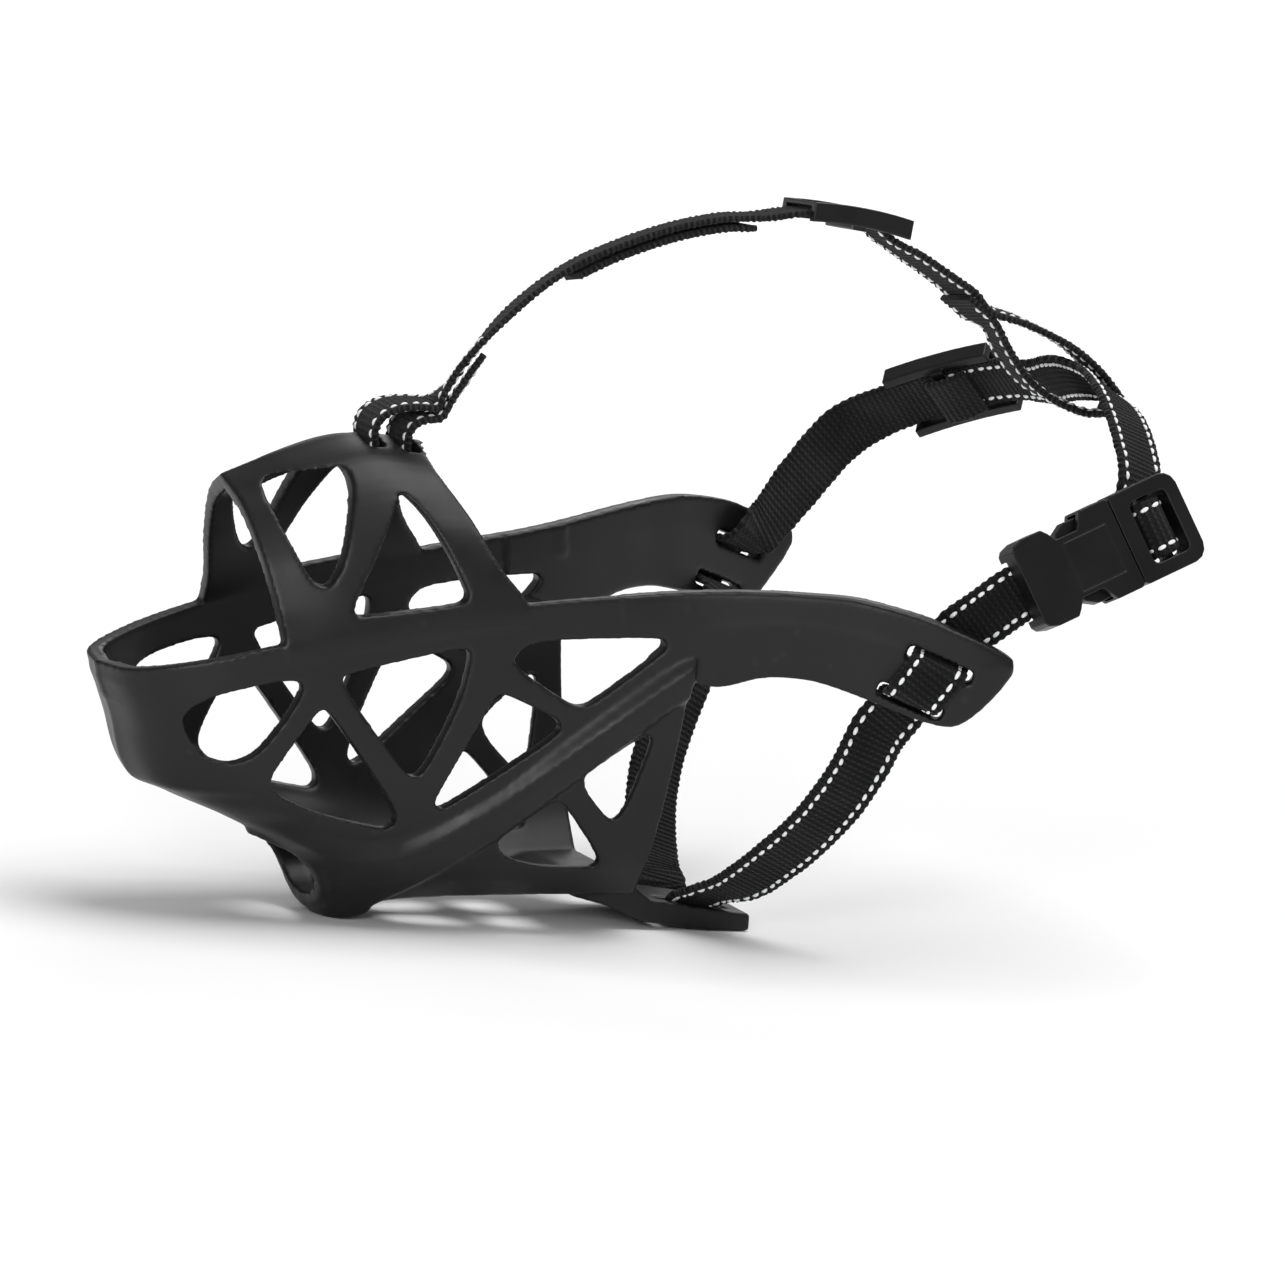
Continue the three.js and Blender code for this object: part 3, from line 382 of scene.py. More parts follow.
    # bridge
    B = surface(BRIDGE, 6, 8)
    bridge = symmetric("bridge", B, "row")
    J = offset(B, WALL, "row")
    J = np.vstack([(J[0] - np.array([0, 0, 4]))[None], J])
    J = np.concatenate([(J[:, 0] + (J[:, 0] - J[:, 1]) * 8)[:, None], J, (J[:, -1] + (J[:, -1] - J[:, -2]) * 8)[:, None]], axis=1)
    cuts = [symmetric("bin", J, "row")]
    for k, P in BRIDGE_WINDOWS.items():
        cuts += [prism(k, P, "y", 2.6, 45), prism(k, P, "y", -45, -2.6)]
    for x0, x1 in ((21.2, 23.9), (27.3, 30.5)):
        cuts.append(prism("s", [(x0, -5.9), (x1, -5.9), (x1, 5.9), (x0, 5.9)], "z", 20, 40, False))
    boolean(bridge, cuts)
    tab = prism("tab", [(52,-47.2),(56,-49.6),(62,-51.7),(68.6,-55.0),(86,-58.8),(88,-58.0),(88.2,-55.2),(70,-51.2),(66,-47.6),(58,-46.4)], "y", -11.2, 11.2, False)
    sl = [(72.6,-48),(85.2,-48),(85.2,-64),(72.6,-64)]
    boolean(tab, [prism("a", sl, "y", -8.4, -5.3, False), prism("b", sl, "y", 5.3, 8.4, False),
                  prism("c", [(72.6,-53.4),(85.2,-56.15),(85.2,-64),(72.6,-64)], "y", -7.0, 7.0, False)])
    boolean(outer, [bridge, tab], "UNION")
    # wing slots
    cut = []
    for s in (-1, 1):
        dz = FAR_LIFT * 0.95 if s > 0 else 0
        for d, a in ((-3.9, 1.05), (3.9, -1.05)):
            c = WC + WD * d + WA * a
            P = []
            for l in (-5.9, 5.9):
                for w in (-1.2, 1.2):
                    for n in (-6, 3):
                        p = c + WA * l + WD * w + WN * n; P.append((p[0], -s * p[1] if s > 0 else p[1], p[2] + dz))
            F = [(0, 1, 3, 2), (4, 6, 7, 5), (0, 4, 5, 1), (2, 3, 7, 6), (0, 2, 6, 4), (1, 5, 7, 3)]
            ob = mesh_object("ws", P, F); fix_normals(ob); cut.append(ob)
    boolean(outer, cut)
    m = outer.modifiers.new("r", "REMESH"); m.mode = "VOXEL"; m.voxel_size = 0.00045; m.use_smooth_shade = True
    m = outer.modifiers.new("s", "SMOOTH"); m.factor = 0.5; m.iterations = 5
    apply_mods(outer)
    # keep the feet flat and on the floor
    me = outer.data; n = len(me.vertices); co = np.empty(n * 3); me.vertices.foreach_get("co", co); co = co.reshape(-1, 3)
    co[:, 2] = np.maximum(co[:, 2], 0.0002)
    me.vertices.foreach_set("co", co.ravel()); me.update()
    shade_smooth(outer)
    return outer


WN = np.array([-0.387, -0.922, 0]); WA = np.array([0.842, -0.354, -0.407]); WD = np.array([-0.375, 0.157, -0.914])
WC = np.array([105.5, -46.98, -9.4])


def wl(d, n, side=-1, dz=0.0):
    p = WC + WA * (-0.27 * d) + WD * d + WN * n
    return [p[0], p[1] if side < 0 else -p[1], p[2] + dz, WA[0], WA[1] if side < 0 else -WA[1], WA[2]]


def unit(v):
    v = np.asarray(v, float)
    return v / np.linalg.norm(v)


LIFT2 = FAR_LIFT * 0.95
NR = np.array([-0.567, 0, 0.824])
BA = unit([0.945, 0.135, 0.299]); BW = np.array([0.328, -0.315, -0.894]); BW = unit(BW - BA * (BW @ BA)); BN = -unit(np.cross(BA, BW))
BO = np.array([121.9, -50.2, 5.9])
ST = unit([0.6664, -0.6727, 0.3206]); SO = np.array([144.7, 36.0, 22.1]); SW = np.array([-0.589, -0.211, 0.781]); SW = unit(SW - ST * (SW @ ST)); SN = unit(np.cross(ST, SW))
EW = [-0.0304, 0.99, -0.1184]; RW = [-0.45, 0.88, 0.1]; FY = [0.29, 0.94, -0.13]
OT = unit([0.9686, 0, -0.2487]); OC = np.array([110.5, 0, 61.5]); OY = unit(np.array(EW) - OT * (np.array(EW) @ OT)); ON = np.cross(OT, OY)


def bl(l, w, n):
    return BO + BA * l + BW * w + BN * n


def nb(l, n):
    return [*bl(l, 0, n), *(-BW)]


def lean(k, w=NR):
    return list(np.asarray(w) * (1 - k) - BW * k)


def sl(l):
    return [*(SO + ST * l), *SW]


def ol(l):
    return [OC[0] + OT[0] * l, 0, OC[2] + OT[2] * l, *EW]


def upN(d, n):
    q = wl(d, n); return [q[0], q[1], q[2], *(-WA)]


def upF(d, n):
    q = wl(d, n, 1, LIFT2); return [q[0], q[1], q[2], -WA[0], WA[1], -WA[2]]


Y1 = [0, 1, 0]
WRAP = [(-3.9,-2.8),(-3.9,-1.0),(-3.7,0.5),(-2.7,1.5),(-1.4,1.75),(0,1.8),(1.4,1.75),(2.7,1.5),(3.7,0.5),(3.9,-1.0),(3.9,-2.8)]
near_neck = [upN(-4.7, -4.7), upN(-6.2, -5.6), upN(-9, -5.9),
             [117.0, -45.9, 1.0, *lean(0.5, [-0.9, 0.3, 0.35])], [120.9, -47.5, 4.1, *lean(0.85, [-0.9, 0.3, 0.35])], nb(2.2, -2.45), nb(3.1, -2.2), nb(3.8, -0.8)]
near_wrap = [wl(d, n) for d, n in WRAP]
near_throat = [wl(4.7, -4.7), wl(6.2, -5.6), wl(8.6, -6.0), wl(12, -6.1),
               [98.0, -36.8, -25.0, 0.85, -0.15, -0.50], [94.9, -34.0, -31.4, 0.85, -0.05, -0.53], [91.4, -29.5, -37.7, 0.85, 0.03, -0.53],
               [87.4, -24.0, -43.5, 0.88, 0.03, -0.48], [83.6, -17.0, -48.8, 0.93, 0.0, -0.36], [80.8, -12.2, -50.8, 0.97, 0, -0.24], [79.9, -9.6, -51.8, 0.977, 0, -0.213]]
tab_pass = [[79.0, y, z, 0.977, 0, -0.213] for y, z in ((-7.5,-52.95),(-6.95,-54.0),(-6.25,-55.5),(-4.8,-56.05),(0,-56.1),(4.8,-56.05),(6.25,-55.5),(6.95,-54.0),(7.5,-52.95))]
far_throat = [wl(4.7, -4.7, 1, LIFT2), wl(6.2, -5.6, 1, LIFT2), wl(8.6, -6.0, 1, LIFT2), wl(12, -6.1, 1, LIFT2),
              [96.5, 36.8, -24.0, 0.85, 0.15, -0.50], [91.8, 34.0, -31.0, 0.85, 0.05, -0.53], [87.4, 29.5, -37.7, 0.87, -0.03, -0.50],
              [84.2, 24.0, -43.5, 0.90, -0.03, -0.44], [81.6, 17.0, -48.8, 0.94, 0.0, -0.33], [80.0, 12.2, -50.8, 0.97, 0, -0.24], [79.7, 9.6, -51.8, 0.977, 0, -0.213]]
far_wrap = [wl(d, n, 1, LIFT2) for d, n in WRAP]
far_neck = [upF(-4.7, -4.7), upF(-6.2, -5.6), [114.3, 44.6, 0.0, -0.80, -0.30, 0.52], [120.8, 46.5, 6.1, -0.68, -0.05, 0.72],
            [129.7, 47.2, 14.1, -0.61, 0.0, 0.78], sl(-9), sl(-4.5), sl(-0.15)]
rear_neck = [sl(0.15), sl(3), sl(6), [151.9, 26.6, 25.2, -0.585, -0.16, 0.79], [153.8, 19.5, 26.0, -0.58, -0.1, 0.8], [154.2, 10, 28.5, -0.6, 0, 0.8], [153.6, 0, 30.2, -0.65, 0, 0.75],
             [153.2, -10, 30.9, -0.75, 0, 0.65], [152.6, -20, 29.1, -0.85, -0.05, 0.5], [151.4, -29, 24.2, -0.85, -0.05, 0.5], [150.0, -35, 18.8, -0.7, 0.1, 0.7]]
plug_in = [nb(28.9, -9.6), nb(28.9, -6.4), nb(29.3, -3.6), nb(29.3, -2.0), nb(29.25, 0.4), nb(28.5, 1.9), nb(27.0, 2.25), nb(25.5, 1.9), nb(24.75, 0.4), nb(24.7, -2.0), nb(24.7, -4.2)]


def neg(S):
    return [[a, b, c, -d, -e, -f] for a, b, c, d, e, f in S]


def frames(st, ds):
    """stations resampled evenly along the strap: centre, tangent, width and normal in the row frame, metres; s along it"""
    st = np.asarray(st, float)
    C = catmull(st, 24)
    P, W = C[:, :3], C[:, 3:]
    d = np.r_[0, np.cumsum(np.linalg.norm(np.diff(P, axis=0), axis=1))]
    n = max(8, int(round(d[-1] / ds)))
    s = np.linspace(0, d[-1], n + 1)
    P = np.stack([np.interp(s, d, P[:, k]) for k in range(3)], 1)
    W = np.stack([np.interp(s, d, W[:, k]) for k in range(3)], 1)
    T = np.gradient(P, axis=0); T /= np.linalg.norm(T, axis=1, keepdims=True)
    W = W - T * np.sum(W * T, axis=1, keepdims=True); W /= np.linalg.norm(W, axis=1, keepdims=True)
    N = np.cross(T, W)
    return P, T, W, N, s


def strap(name, st, stitch=((0, 1e9),), width=10.0, thick=1.2, seed=1, sides=(1, -1), bar=()):
    """woven webbing along the stations, with its ribs, corded edges and two rows of reflective stitching"""
    ds = 0.2
    P, T, W, N, s = frames(st, ds)
    rg = np.random.default_rng(seed)
    K = 23
    v = np.concatenate([np.linspace(-1, 1, K), np.linspace(1, -1, K)])          # across, top then back
    top = np.r_[np.ones(K), -np.ones(K)]
    half = width / 2
    verts = []; uv_u = []
    wob = 0.05 * np.interp(s, np.arange(0, s[-1] + 6, 3.0), rg.normal(size=len(np.arange(0, s[-1] + 6, 3.0))))
    for i in range(len(s)):
        edge = 0.5 + 0.5 * math.cos(2 * math.pi * s[i] / 1.36)
        h = half - 0.20 + 0.20 * edge + wob[i]
        a = np.abs(v)
        x = v * h
        ribs = 0.5 + 0.5 * np.cos(2 * math.pi * s[i] / 1.0)
        body = 0.42 + 0.15 * ribs
        cord = np.exp(-((a - 0.93) / 0.06) ** 2) * (0.04 + 0.10 * edge)
        t = body + cord
        t = t * np.sqrt(np.clip(1 - np.clip((a - 0.90) / 0.112, 0, 1) ** 2.4, 0.02, 1))
        t = t * thick / 1.2
        verts.append(P[i] + np.outer(x, W[i]) + np.outer(top * t, N[i]))
    V = np.array(verts); M, R = V.shape[0], V.shape[1]
    F = []; UV = []
    perim = np.r_[np.linspace(0, 1, K), np.linspace(1, 0, K)] * width
    for i in range(M - 1):
        for e in range(R):
            f = (e + 1) % R
            F.append((i * R + e, i * R + f, (i + 1) * R + f, (i + 1) * R + e))
            UV += [(s[i] / 10, perim[e] / 10), (s[i] / 10, perim[f] / 10), (s[i + 1] / 10, perim[f] / 10), (s[i + 1] / 10, perim[e] / 10)]
    F.append(tuple(range(R))); UV += [(s[0] / 10, perim[e] / 10) for e in range(R)]
    F.append(tuple(range((M - 1) * R, M * R))); UV += [(s[-1] / 10, perim[e] / 10) for e in range(R)]
    pts = [V.reshape(-1, 3)]; mats = [0] * len(F)
    base = M * R
    # stitches: little rounded lengths of thread that dip into the cloth at both ends
    ringn = 8; L = 7
    for a0, a1 in stitch:
        pos = max(a0, 0.9)
        end = min(a1, s[-1] - 0.7)
        while pos + 1.2 < end:
            for row in (-1, 1):
                for side in sides:
                    p0 = pos + rg.normal() * 0.06; ln = 1.30 + rg.normal() * 0.06
                    off = row * (half - 1.5) + rg.normal() * 0.05; tilt = rg.normal() * 0.05 + 0.07 * side
                    q = np.linspace(0, 1, L)
                    ring_pts = []
                    for k in range(L):
                        sc = p0 + ln * q[k]
                        c = np.array([np.interp(sc, s, P[:, j]) for j in range(3)]); tt = np.array([np.interp(sc, s, T[:, j]) for j in range(3)])
                        ww = np.array([np.interp(sc, s, W[:, j]) for j in range(3)]); nn = np.array([np.interp(sc, s, N[:, j]) for j in range(3)])
                        lift_ = math.sin(math.pi * q[k])
                        rad = 0.35 * (0.35 + 0.65 * math.sqrt(max(lift_, 0)))
                        cc = c + ww * (off + tilt * (q[k] - .5)) + nn * side * (0.47 + 0.15 * lift_)
                        for r_ in range(ringn):
                            an = 2 * math.pi * r_ / ringn
                            ring_pts.append(cc + ww * rad * math.cos(an) + nn * 0.62 * rad * math.sin(an))
                    pts.append(np.array(ring_pts))
                    for k in range(L - 1):
                        for r_ in range(ringn):
                            f_ = (r_ + 1) % ringn
                            F.append((base + k * ringn + r_, base + k * ringn + f_, base + (k + 1) * ringn + f_, base + (k + 1) * ringn + r_)); mats.append(1)
                            UV += [(k / 10, r_ / 8), (k / 10, (r_ + 1) / 8), ((k + 1) / 10, (r_ + 1) / 8), ((k + 1) / 10, r_ / 8)]
                    F.append(tuple(base + r_ for r_ in range(ringn))); mats.append(1); UV += [(0, 0)] * ringn
                    F.append(tuple(base + (L - 1) * ringn + r_ for r_ in range(ringn))); mats.append(1); UV += [(0, 0)] * ringn
                    base += L * ringn
            pos += 1.95
    allp = np.vstack(pts)
    me = bpy.data.meshes.new(name)
    me.from_pydata([tuple(p) for p in to_row(allp)], [], F)
    lay = me.uv_layers.new(name="UVMap"); lay.data.foreach_set("uv", np.array(UV, np.float32).ravel())
    me.polygons.foreach_set("material_index", np.array(mats, np.int32)); me.update()
    ob = bpy.data.objects.new(name, me); bpy.context.scene.collection.objects.link(ob)
    me.materials.append(MAT["web"]); me.materials.append(MAT["thread"])
    bm = bmesh.new(); bm.from_mesh(me); bmesh.ops.recalc_face_normals(bm, faces=bm.faces); bm.to_mesh(me); bm.free()
    shade_smooth(ob)
    return ob


# ---------------------------------------------------------------- materials
MAT = {}


def new_mat(name):
    m = bpy.data.materials.new(name); m.use_nodes = True
    nt = m.node_tree; b = nt.nodes["Principled BSDF"]
    return m, nt, b


def node(nt, kind, **kw):
    n = nt.nodes.new(kind)
    for k, v in kw.items():
        if k in n.inputs:
            n.inputs[k].default_value = v
        else:
            setattr(n, k, v)
    return n


def ramp(nt, fac, stops):
    r = nt.nodes.new("ShaderNodeValToRGB")
    el = r.color_ramp.elements
    while len(el) < len(stops):
        el.new(0.5)
    for e, (p, c) in zip(el, stops):
        e.position = p; e.color = (c, c, c, 1) if isinstance(c, (int, float)) else (*c, 1)
    nt.links.new(fac, r.inputs["Fac"])
    return r


def rubber(name="rubber", lo=0.0028, hi=0.0058, r0=0.34, r1=0.48, grain=2600, bump=0.05, blotch=45):
    m, nt, b = new_mat(name); L = nt.links
    tc = nt.nodes.new("ShaderNodeTexCoord")
    n1 = node(nt, "ShaderNodeTexNoise", Scale=blotch, Detail=5.0, Roughness=0.6); L.new(tc.outputs["Object"], n1.inputs["Vector"])
    c = ramp(nt, n1.outputs["Fac"], [(0.3, (lo, lo, lo * 1.04)), (0.75, (hi, hi, hi * 1.05))])
    # painted highlight: convex edges, found by pointiness and broken up by fine noise, get a lighter base colour that
    # stands in for the light such edges catch; the buckle plastic uses it too
    geo = nt.nodes.new("ShaderNodeNewGeometry")
    painted_edge_highlight_mask = ramp(nt, geo.outputs["Pointiness"], [(0.50, 0.0), (0.60, 1.0)])
    n3 = node(nt, "ShaderNodeTexNoise", Scale=420.0, Detail=4.0); L.new(tc.outputs["Object"], n3.inputs["Vector"])
    mul = node(nt, "ShaderNodeMath", operation="MULTIPLY"); L.new(painted_edge_highlight_mask.outputs["Color"], mul.inputs[0]); L.new(n3.outputs["Fac"], mul.inputs[1])
    mix = node(nt, "ShaderNodeMix", data_type="RGBA"); mix.inputs["B"].default_value = (hi * 2.1, hi * 2.1, hi * 2.15, 1)
    L.new(mul.outputs[0], mix.inputs["Factor"]); L.new(c.outputs["Color"], mix.inputs["A"])
    L.new(mix.outputs["Result"], b.inputs["Base Color"])
    n2 = node(nt, "ShaderNodeTexNoise", Scale=90.0, Detail=6.0, Roughness=0.65); L.new(tc.outputs["Object"], n2.inputs["Vector"])
    mr = node(nt, "ShaderNodeMapRange"); mr.inputs["To Min"].default_value = r0; mr.inputs["To Max"].default_value = r1
    mr.inputs["From Min"].default_value = 0.3; mr.inputs["From Max"].default_value = 0.7
    L.new(n2.outputs["Fac"], mr.inputs["Value"]); L.new(mr.outputs["Result"], b.inputs["Roughness"])
    g = node(nt, "ShaderNodeTexNoise", Scale=float(grain), Detail=3.0); L.new(tc.outputs["Object"], g.inputs["Vector"])
    bp = node(nt, "ShaderNodeBump", Strength=bump, Distance=0.0001); L.new(g.outputs["Fac"], bp.inputs["Height"])
    L.new(bp.outputs["Normal"], b.inputs["Normal"])
    b.inputs["Specular IOR Level"].default_value = 0.33
    return m


def web(name="webbing"):
    m, nt, b = new_mat(name); L = nt.links
    uv = nt.nodes.new("ShaderNodeUVMap"); uv.uv_map = "UVMap"
    sx = nt.nodes.new("ShaderNodeSeparateXYZ"); L.new(uv.outputs["UV"], sx.inputs[0])

    def wave(sock, per_cm, phase=0.0):
        k = node(nt, "ShaderNodeMath", operation="MULTIPLY_ADD"); k.inputs[1].default_value = 2 * math.pi * per_cm; k.inputs[2].default_value = phase
        L.new(sock, k.inputs[0])
        c = node(nt, "ShaderNodeMath", operation="COSINE"); L.new(k.outputs[0], c.inputs[0])
        return c.outputs[0]

    def op(kind, a, bb):
        n = node(nt, "ShaderNodeMath", operation=kind)
        for i, q in enumerate((a, bb)):
            if isinstance(q, (int, float)):
                n.inputs[i].default_value = q
            else:
                L.new(q, n.inputs[i])
        return n.outputs[0]
    along, across = sx.outputs["X"], sx.outputs["Y"]
    checker = op("MULTIPLY", wave(along, 10.0), wave(across, 9.0))               # plain weave, 1 mm ribs
    rib = wave(along, 20.0)
    yarn = wave(across, 36.0)
    cross = wave(along, 10.0)
    h = op("ADD", op("MULTIPLY", checker, 0.40), op("ADD", op("MULTIPLY", rib, 0.15), op("MULTIPLY", yarn, 0.2)))
    h = op("ADD", h, op("MULTIPLY", cross, 0.45))
    tc = nt.nodes.new("ShaderNodeTexCoord")
    fz = node(nt, "ShaderNodeTexNoise", Scale=5200.0, Detail=4.0); L.new(tc.outputs["Object"], fz.inputs["Vector"])
    hh = op("ADD", h, op("MULTIPLY", fz.outputs["Fac"], 0.9))
    bp = node(nt, "ShaderNodeBump", Strength=0.85, Distance=0.00016); L.new(hh, bp.inputs["Height"]); L.new(bp.outputs["Normal"], b.inputs["Normal"])
    fade = node(nt, "ShaderNodeTexNoise", Scale=120.0, Detail=3.0); L.new(tc.outputs["Object"], fade.inputs["Vector"])
    # painted highlight and shade: the base colour follows the weave's bump height, so raised ribs and yarns are lighter
    # and the hollows darker; the noise on top adds random tone
    t = op("ADD", op("MULTIPLY", h, 0.36), fade.outputs["Fac"])
    c = ramp(nt, t, [(0.15, (0.0015, 0.0015, 0.0017)), (0.55, (0.0060, 0.0060, 0.0065)), (0.95, (0.024, 0.024, 0.026))])
    L.new(c.outputs["Color"], b.inputs["Base Color"])
    mr = node(nt, "ShaderNodeMapRange"); mr.inputs["To Min"].default_value = 0.72; mr.inputs["To Max"].default_value = 0.92
    L.new(fz.outputs["Fac"], mr.inputs["Value"]); L.new(mr.outputs["Result"], b.inputs["Roughness"])
    b.inputs["Sheen Weight"].default_value = 0.06; b.inputs["Sheen Roughness"].default_value = 0.45
    b.inputs["Specular IOR Level"].default_value = 0.22
    return m


def thread(name="reflective_thread"):
    m, nt, b = new_mat(name); L = nt.links
    tc = nt.nodes.new("ShaderNodeTexCoord")
    n1 = node(nt, "ShaderNodeTexNoise", Scale=900.0, Detail=3.0); L.new(tc.outputs["Object"], n1.inputs["Vector"])
    c = ramp(nt, n1.outputs["Fac"], [(0.3, (0.82, 0.83, 0.84)), (0.7, (0.95, 0.95, 0.95))]); L.new(c.outputs["Color"], b.inputs["Base Color"])
    w = node(nt, "ShaderNodeTexNoise", Scale=6000.0, Detail=2.0); L.new(tc.outputs["Object"], w.inputs["Vector"])
    bp = node(nt, "ShaderNodeBump", Strength=0.3, Distance=0.00008); L.new(w.outputs["Fac"], bp.inputs["Height"]); L.new(bp.outputs["Normal"], b.inputs["Normal"])
    mr = node(nt, "ShaderNodeMapRange"); mr.inputs["To Min"].default_value = 0.45; mr.inputs["To Max"].default_value = 0.65
    L.new(n1.outputs["Fac"], mr.inputs["Value"]); L.new(mr.outputs["Result"], b.inputs["Roughness"])
    return m


def floor_mat():
    m, nt, b = new_mat("studio_floor"); L = nt.links
    tc = nt.nodes.new("ShaderNodeTexCoord")
    n1 = node(nt, "ShaderNodeTexNoise", Scale=2.0, Detail=2.0); L.new(tc.outputs["Object"], n1.inputs["Vector"])
    c = ramp(nt, n1.outputs["Fac"], [(0.2, 0.86), (0.8, 0.89)]); L.new(c.outputs["Color"], b.inputs["Base Color"])
    b.inputs["Roughness"].default_value = 0.9; b.inputs["Specular IOR Level"].default_value = 0.1
    return m


MAT["rubber"] = rubber()
MAT["web"] = web()
MAT["thread"] = thread()
MAT["plastic"] = rubber("buckle_plastic", 0.0030, 0.0055, 0.30, 0.42, 3800, 0.10, 60)

# ---------------------------------------------------------------- basket
basket = make_basket()
basket.name = "basket_body"
basket.data.materials.clear(); basket.data.materials.append(MAT["rubber"])
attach(basket, "muzzle"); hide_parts("muzzle_basket")

# ---------------------------------------------------------------- straps
side_path = near_neck[::-1]
side_path = neg(side_path) + near_wrap + near_throat + tab_pass + far_throat[::-1] + far_wrap[::-1] + neg(far_neck)


def path_length(st):
    P = catmull(np.asarray(st, float), 24)[:, :3]
    return float(np.linalg.norm(np.diff(P, axis=0), axis=1).sum())


cut1 = path_length(neg(near_neck[::-1]) + near_wrap + near_throat + tab_pass[:3])
side = strap("strap_side_webbing", side_path, stitch=((0, cut1),), seed=3)
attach(side, "muzzle")
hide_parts("strap_neck_near", "strap_wing_wrap_near", "strap_throat_near", "strap_tab_pass", "strap_throat_far", "strap_wing_wrap_far", "strap_neck_far")
rear = strap("strap_rear_webbing", rear_neck + plug_in, seed=4)
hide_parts("strap_neck_rear", "strap_plug_wrap")
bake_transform(rear)

SNc = np.cross(ST, SW)
fold = [[*(SO + ST * l + SNc * n), *SW] for l, n in ((4.8,1.8),(4.0,2.0),(2.8,2.4),(1.0,2.75),(-1.0,2.75),(-2.3,2.35),(-2.8,1.75))]
sleeve = strap("strap_neck_slide_fold", fold, stitch=((0.2, 3.9),), seed=8, thick=1.05, sides=(1,))
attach(sleeve, "neck_adjuster")

over_main = [[35.2, 0, 36.1, 0.15, 0.98, -0.1], [38.2, 0, 39.1, 0.366, 0.907, -0.21], [41.3, 0, 42.8, 0.366, 0.907, -0.21], [47.9, 0, 49.3, *FY], [54.8, 0, 54.4, *FY], [61.2, 0, 57.7, *FY], [66.7, 0, 59.6, *FY],
             [73.7, 0, 61.5, *FY], [80.6, 0, 62.8, *FY], [87.7, 0, 63.4, *FY], [94.5, 0, 63.1, *EW], [99.5, -0.12, 63.4, *EW], ol(-7.5), ol(-4), ol(-0.15)]
front_loop = [[34.3, 0, 35.5, *Y1], [30.2, 0, 35.9, *Y1], [26.4, 0, 35.7, *Y1], [23.6, 0, 34.2, *Y1], [22.6, 0, 32.0, *Y1], [22.75, 0, 29.4, *Y1],
              [22.9, 0, 26.2, *Y1], [25.6, 0, 23.9, *Y1], [28.4, 0, 26.2, *Y1], [28.5, 0, 29.4, *Y1], [28.8, 0, 31.2, *Y1], [29.8, 0, 32.7, *Y1], [31.8, 0, 33.5, *Y1], [34.5, 0, 33.6, *Y1]]
over_end = [[36.8, 0, 34.6, 0.25, 0.95, -0.15], [39.8, 0, 37.7, 0.366, 0.907, -0.21], [42.8, 0, 41.5, 0.366, 0.907, -0.21], [43.9, 0, 42.8, 0.366, 0.907, -0.21]]
over_tail = [[60.3, 0, 55.3, *FY], [67.3, 0, 57.9, *FY], [74.1, 0, 59.8, *FY], [80.8, 0, 61.1, *FY], [87.7, 0, 61.7, *FY], [92.0, 0, 61.5, *FY]]
over_rear = [ol(0.15), ol(2.4), [115.0, -0.2, 59.5, *EW], [117.0, -0.3, 57.5, *EW], [121.0, -0.3, 54.9, *RW], [125.6, -0.15, 51.6, *RW], [129.3, 0, 48.8, *RW], [132.2, 0, 46.4, *RW], [134.8, 0, 44.4, *Y1]]
rear_loop = [[136.4, 0, 43.5, *Y1], [141.2, 0, 41.7, *Y1], [145.8, 0, 39.4, *Y1], [150.2, 0, 36.8, *Y1], [154.2, 0, 33.4, *Y1], [157.3, 0, 29.8, *Y1], [159.1, 0, 26.6, *Y1],
             [157.6, 0, 24.4, 0.25, 0.95, -0.15], [154.4, 0, 24.5, 0.3, 0.93, -0.17], [150.6, 0, 26.0, 0.25, 0.95, -0.1], [146.4, 0, 28.2, *Y1], [142.4, 0, 31.6, *Y1], [139.2, 0, 36.2, *Y1], [137.1, 0, 40.2, *Y1], [134.5, -0.05, 42.7, *RW], [132.0, -0.15, 44.9, *RW], [130.3, -0.2, 46.3, *RW]]
p_main = over_main[::-1] + front_loop + over_end
lm = path_length(over_main[::-1])
fore = strap("strap_forehead_webbing", p_main, stitch=((lm - 13, 1e9),), seed=5)
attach(fore, "muzzle"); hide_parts("strap_forehead_main", "strap_forehead_front_loop", "strap_forehead_sewn_end")
tail = strap("strap_forehead_free_tail", over_tail, stitch=(), seed=6)
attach(tail, "muzzle"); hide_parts("strap_forehead_tail")
back = strap("strap_forehead_back", over_rear + rear_loop, seed=7)
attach(back, "muzzle"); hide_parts("strap_forehead_rear", "strap_forehead_rear_loop")

# ---------------------------------------------------------------- buckle and slides


def block(name, l0, l1, w0, w1, n0, n1):
    P = [(l, w, n) for l in (l0, l1) for w in (w0, w1) for n in (n0, n1)]
    F = [(0, 1, 3, 2), (4, 6, 7, 5), (0, 4, 5, 1), (2, 3, 7, 6), (0, 2, 6, 4), (1, 5, 7, 3)]
    ob = mesh_object(name, P, F, row=False); fix_normals(ob); return ob


def plate(name, poly, n0, n1):
    m = len(poly)
    P = [(l, w, n0) for l, w in poly] + [(l, w, n1) for l, w in poly]
    F = [tuple(range(m)), tuple(range(m, 2 * m))] + [(e, (e + 1) % m, (e + 1) % m + m, e + m) for e in range(m)]
    ob = mesh_object(name, P, F, row=False); fix_normals(ob); return ob


def moulded(ob, origin, A, B, C, voxel=0.16, smooth=6, body="muzzle", nodes_=()):
    """local millimetres to the row frame, with softly rounded moulded edges"""
    m = ob.modifiers.new("r", "REMESH"); m.mode = "VOXEL"; m.voxel_size = voxel * 1.0; m.use_smooth_shade = True
    m = ob.modifiers.new("s", "SMOOTH"); m.factor = 0.5; m.iterations = smooth
    apply_mods(ob)
    me = ob.data; n = len(me.vertices); co = np.empty(n * 3); me.vertices.foreach_get("co", co); co = co.reshape(-1, 3)
    P = np.asarray(origin) + co[:, :1] * A + co[:, 1:2] * B + co[:, 2:3] * C
    me.vertices.foreach_set("co", to_row(P).ravel()); me.update()
    if np.dot(np.cross(A, B), C) < 0:
        me.flip_normals()
    shade_smooth(ob)
    me.materials.clear(); me.materials.append(MAT["plastic"])
    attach(ob, body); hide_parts(*nodes_)
    return ob


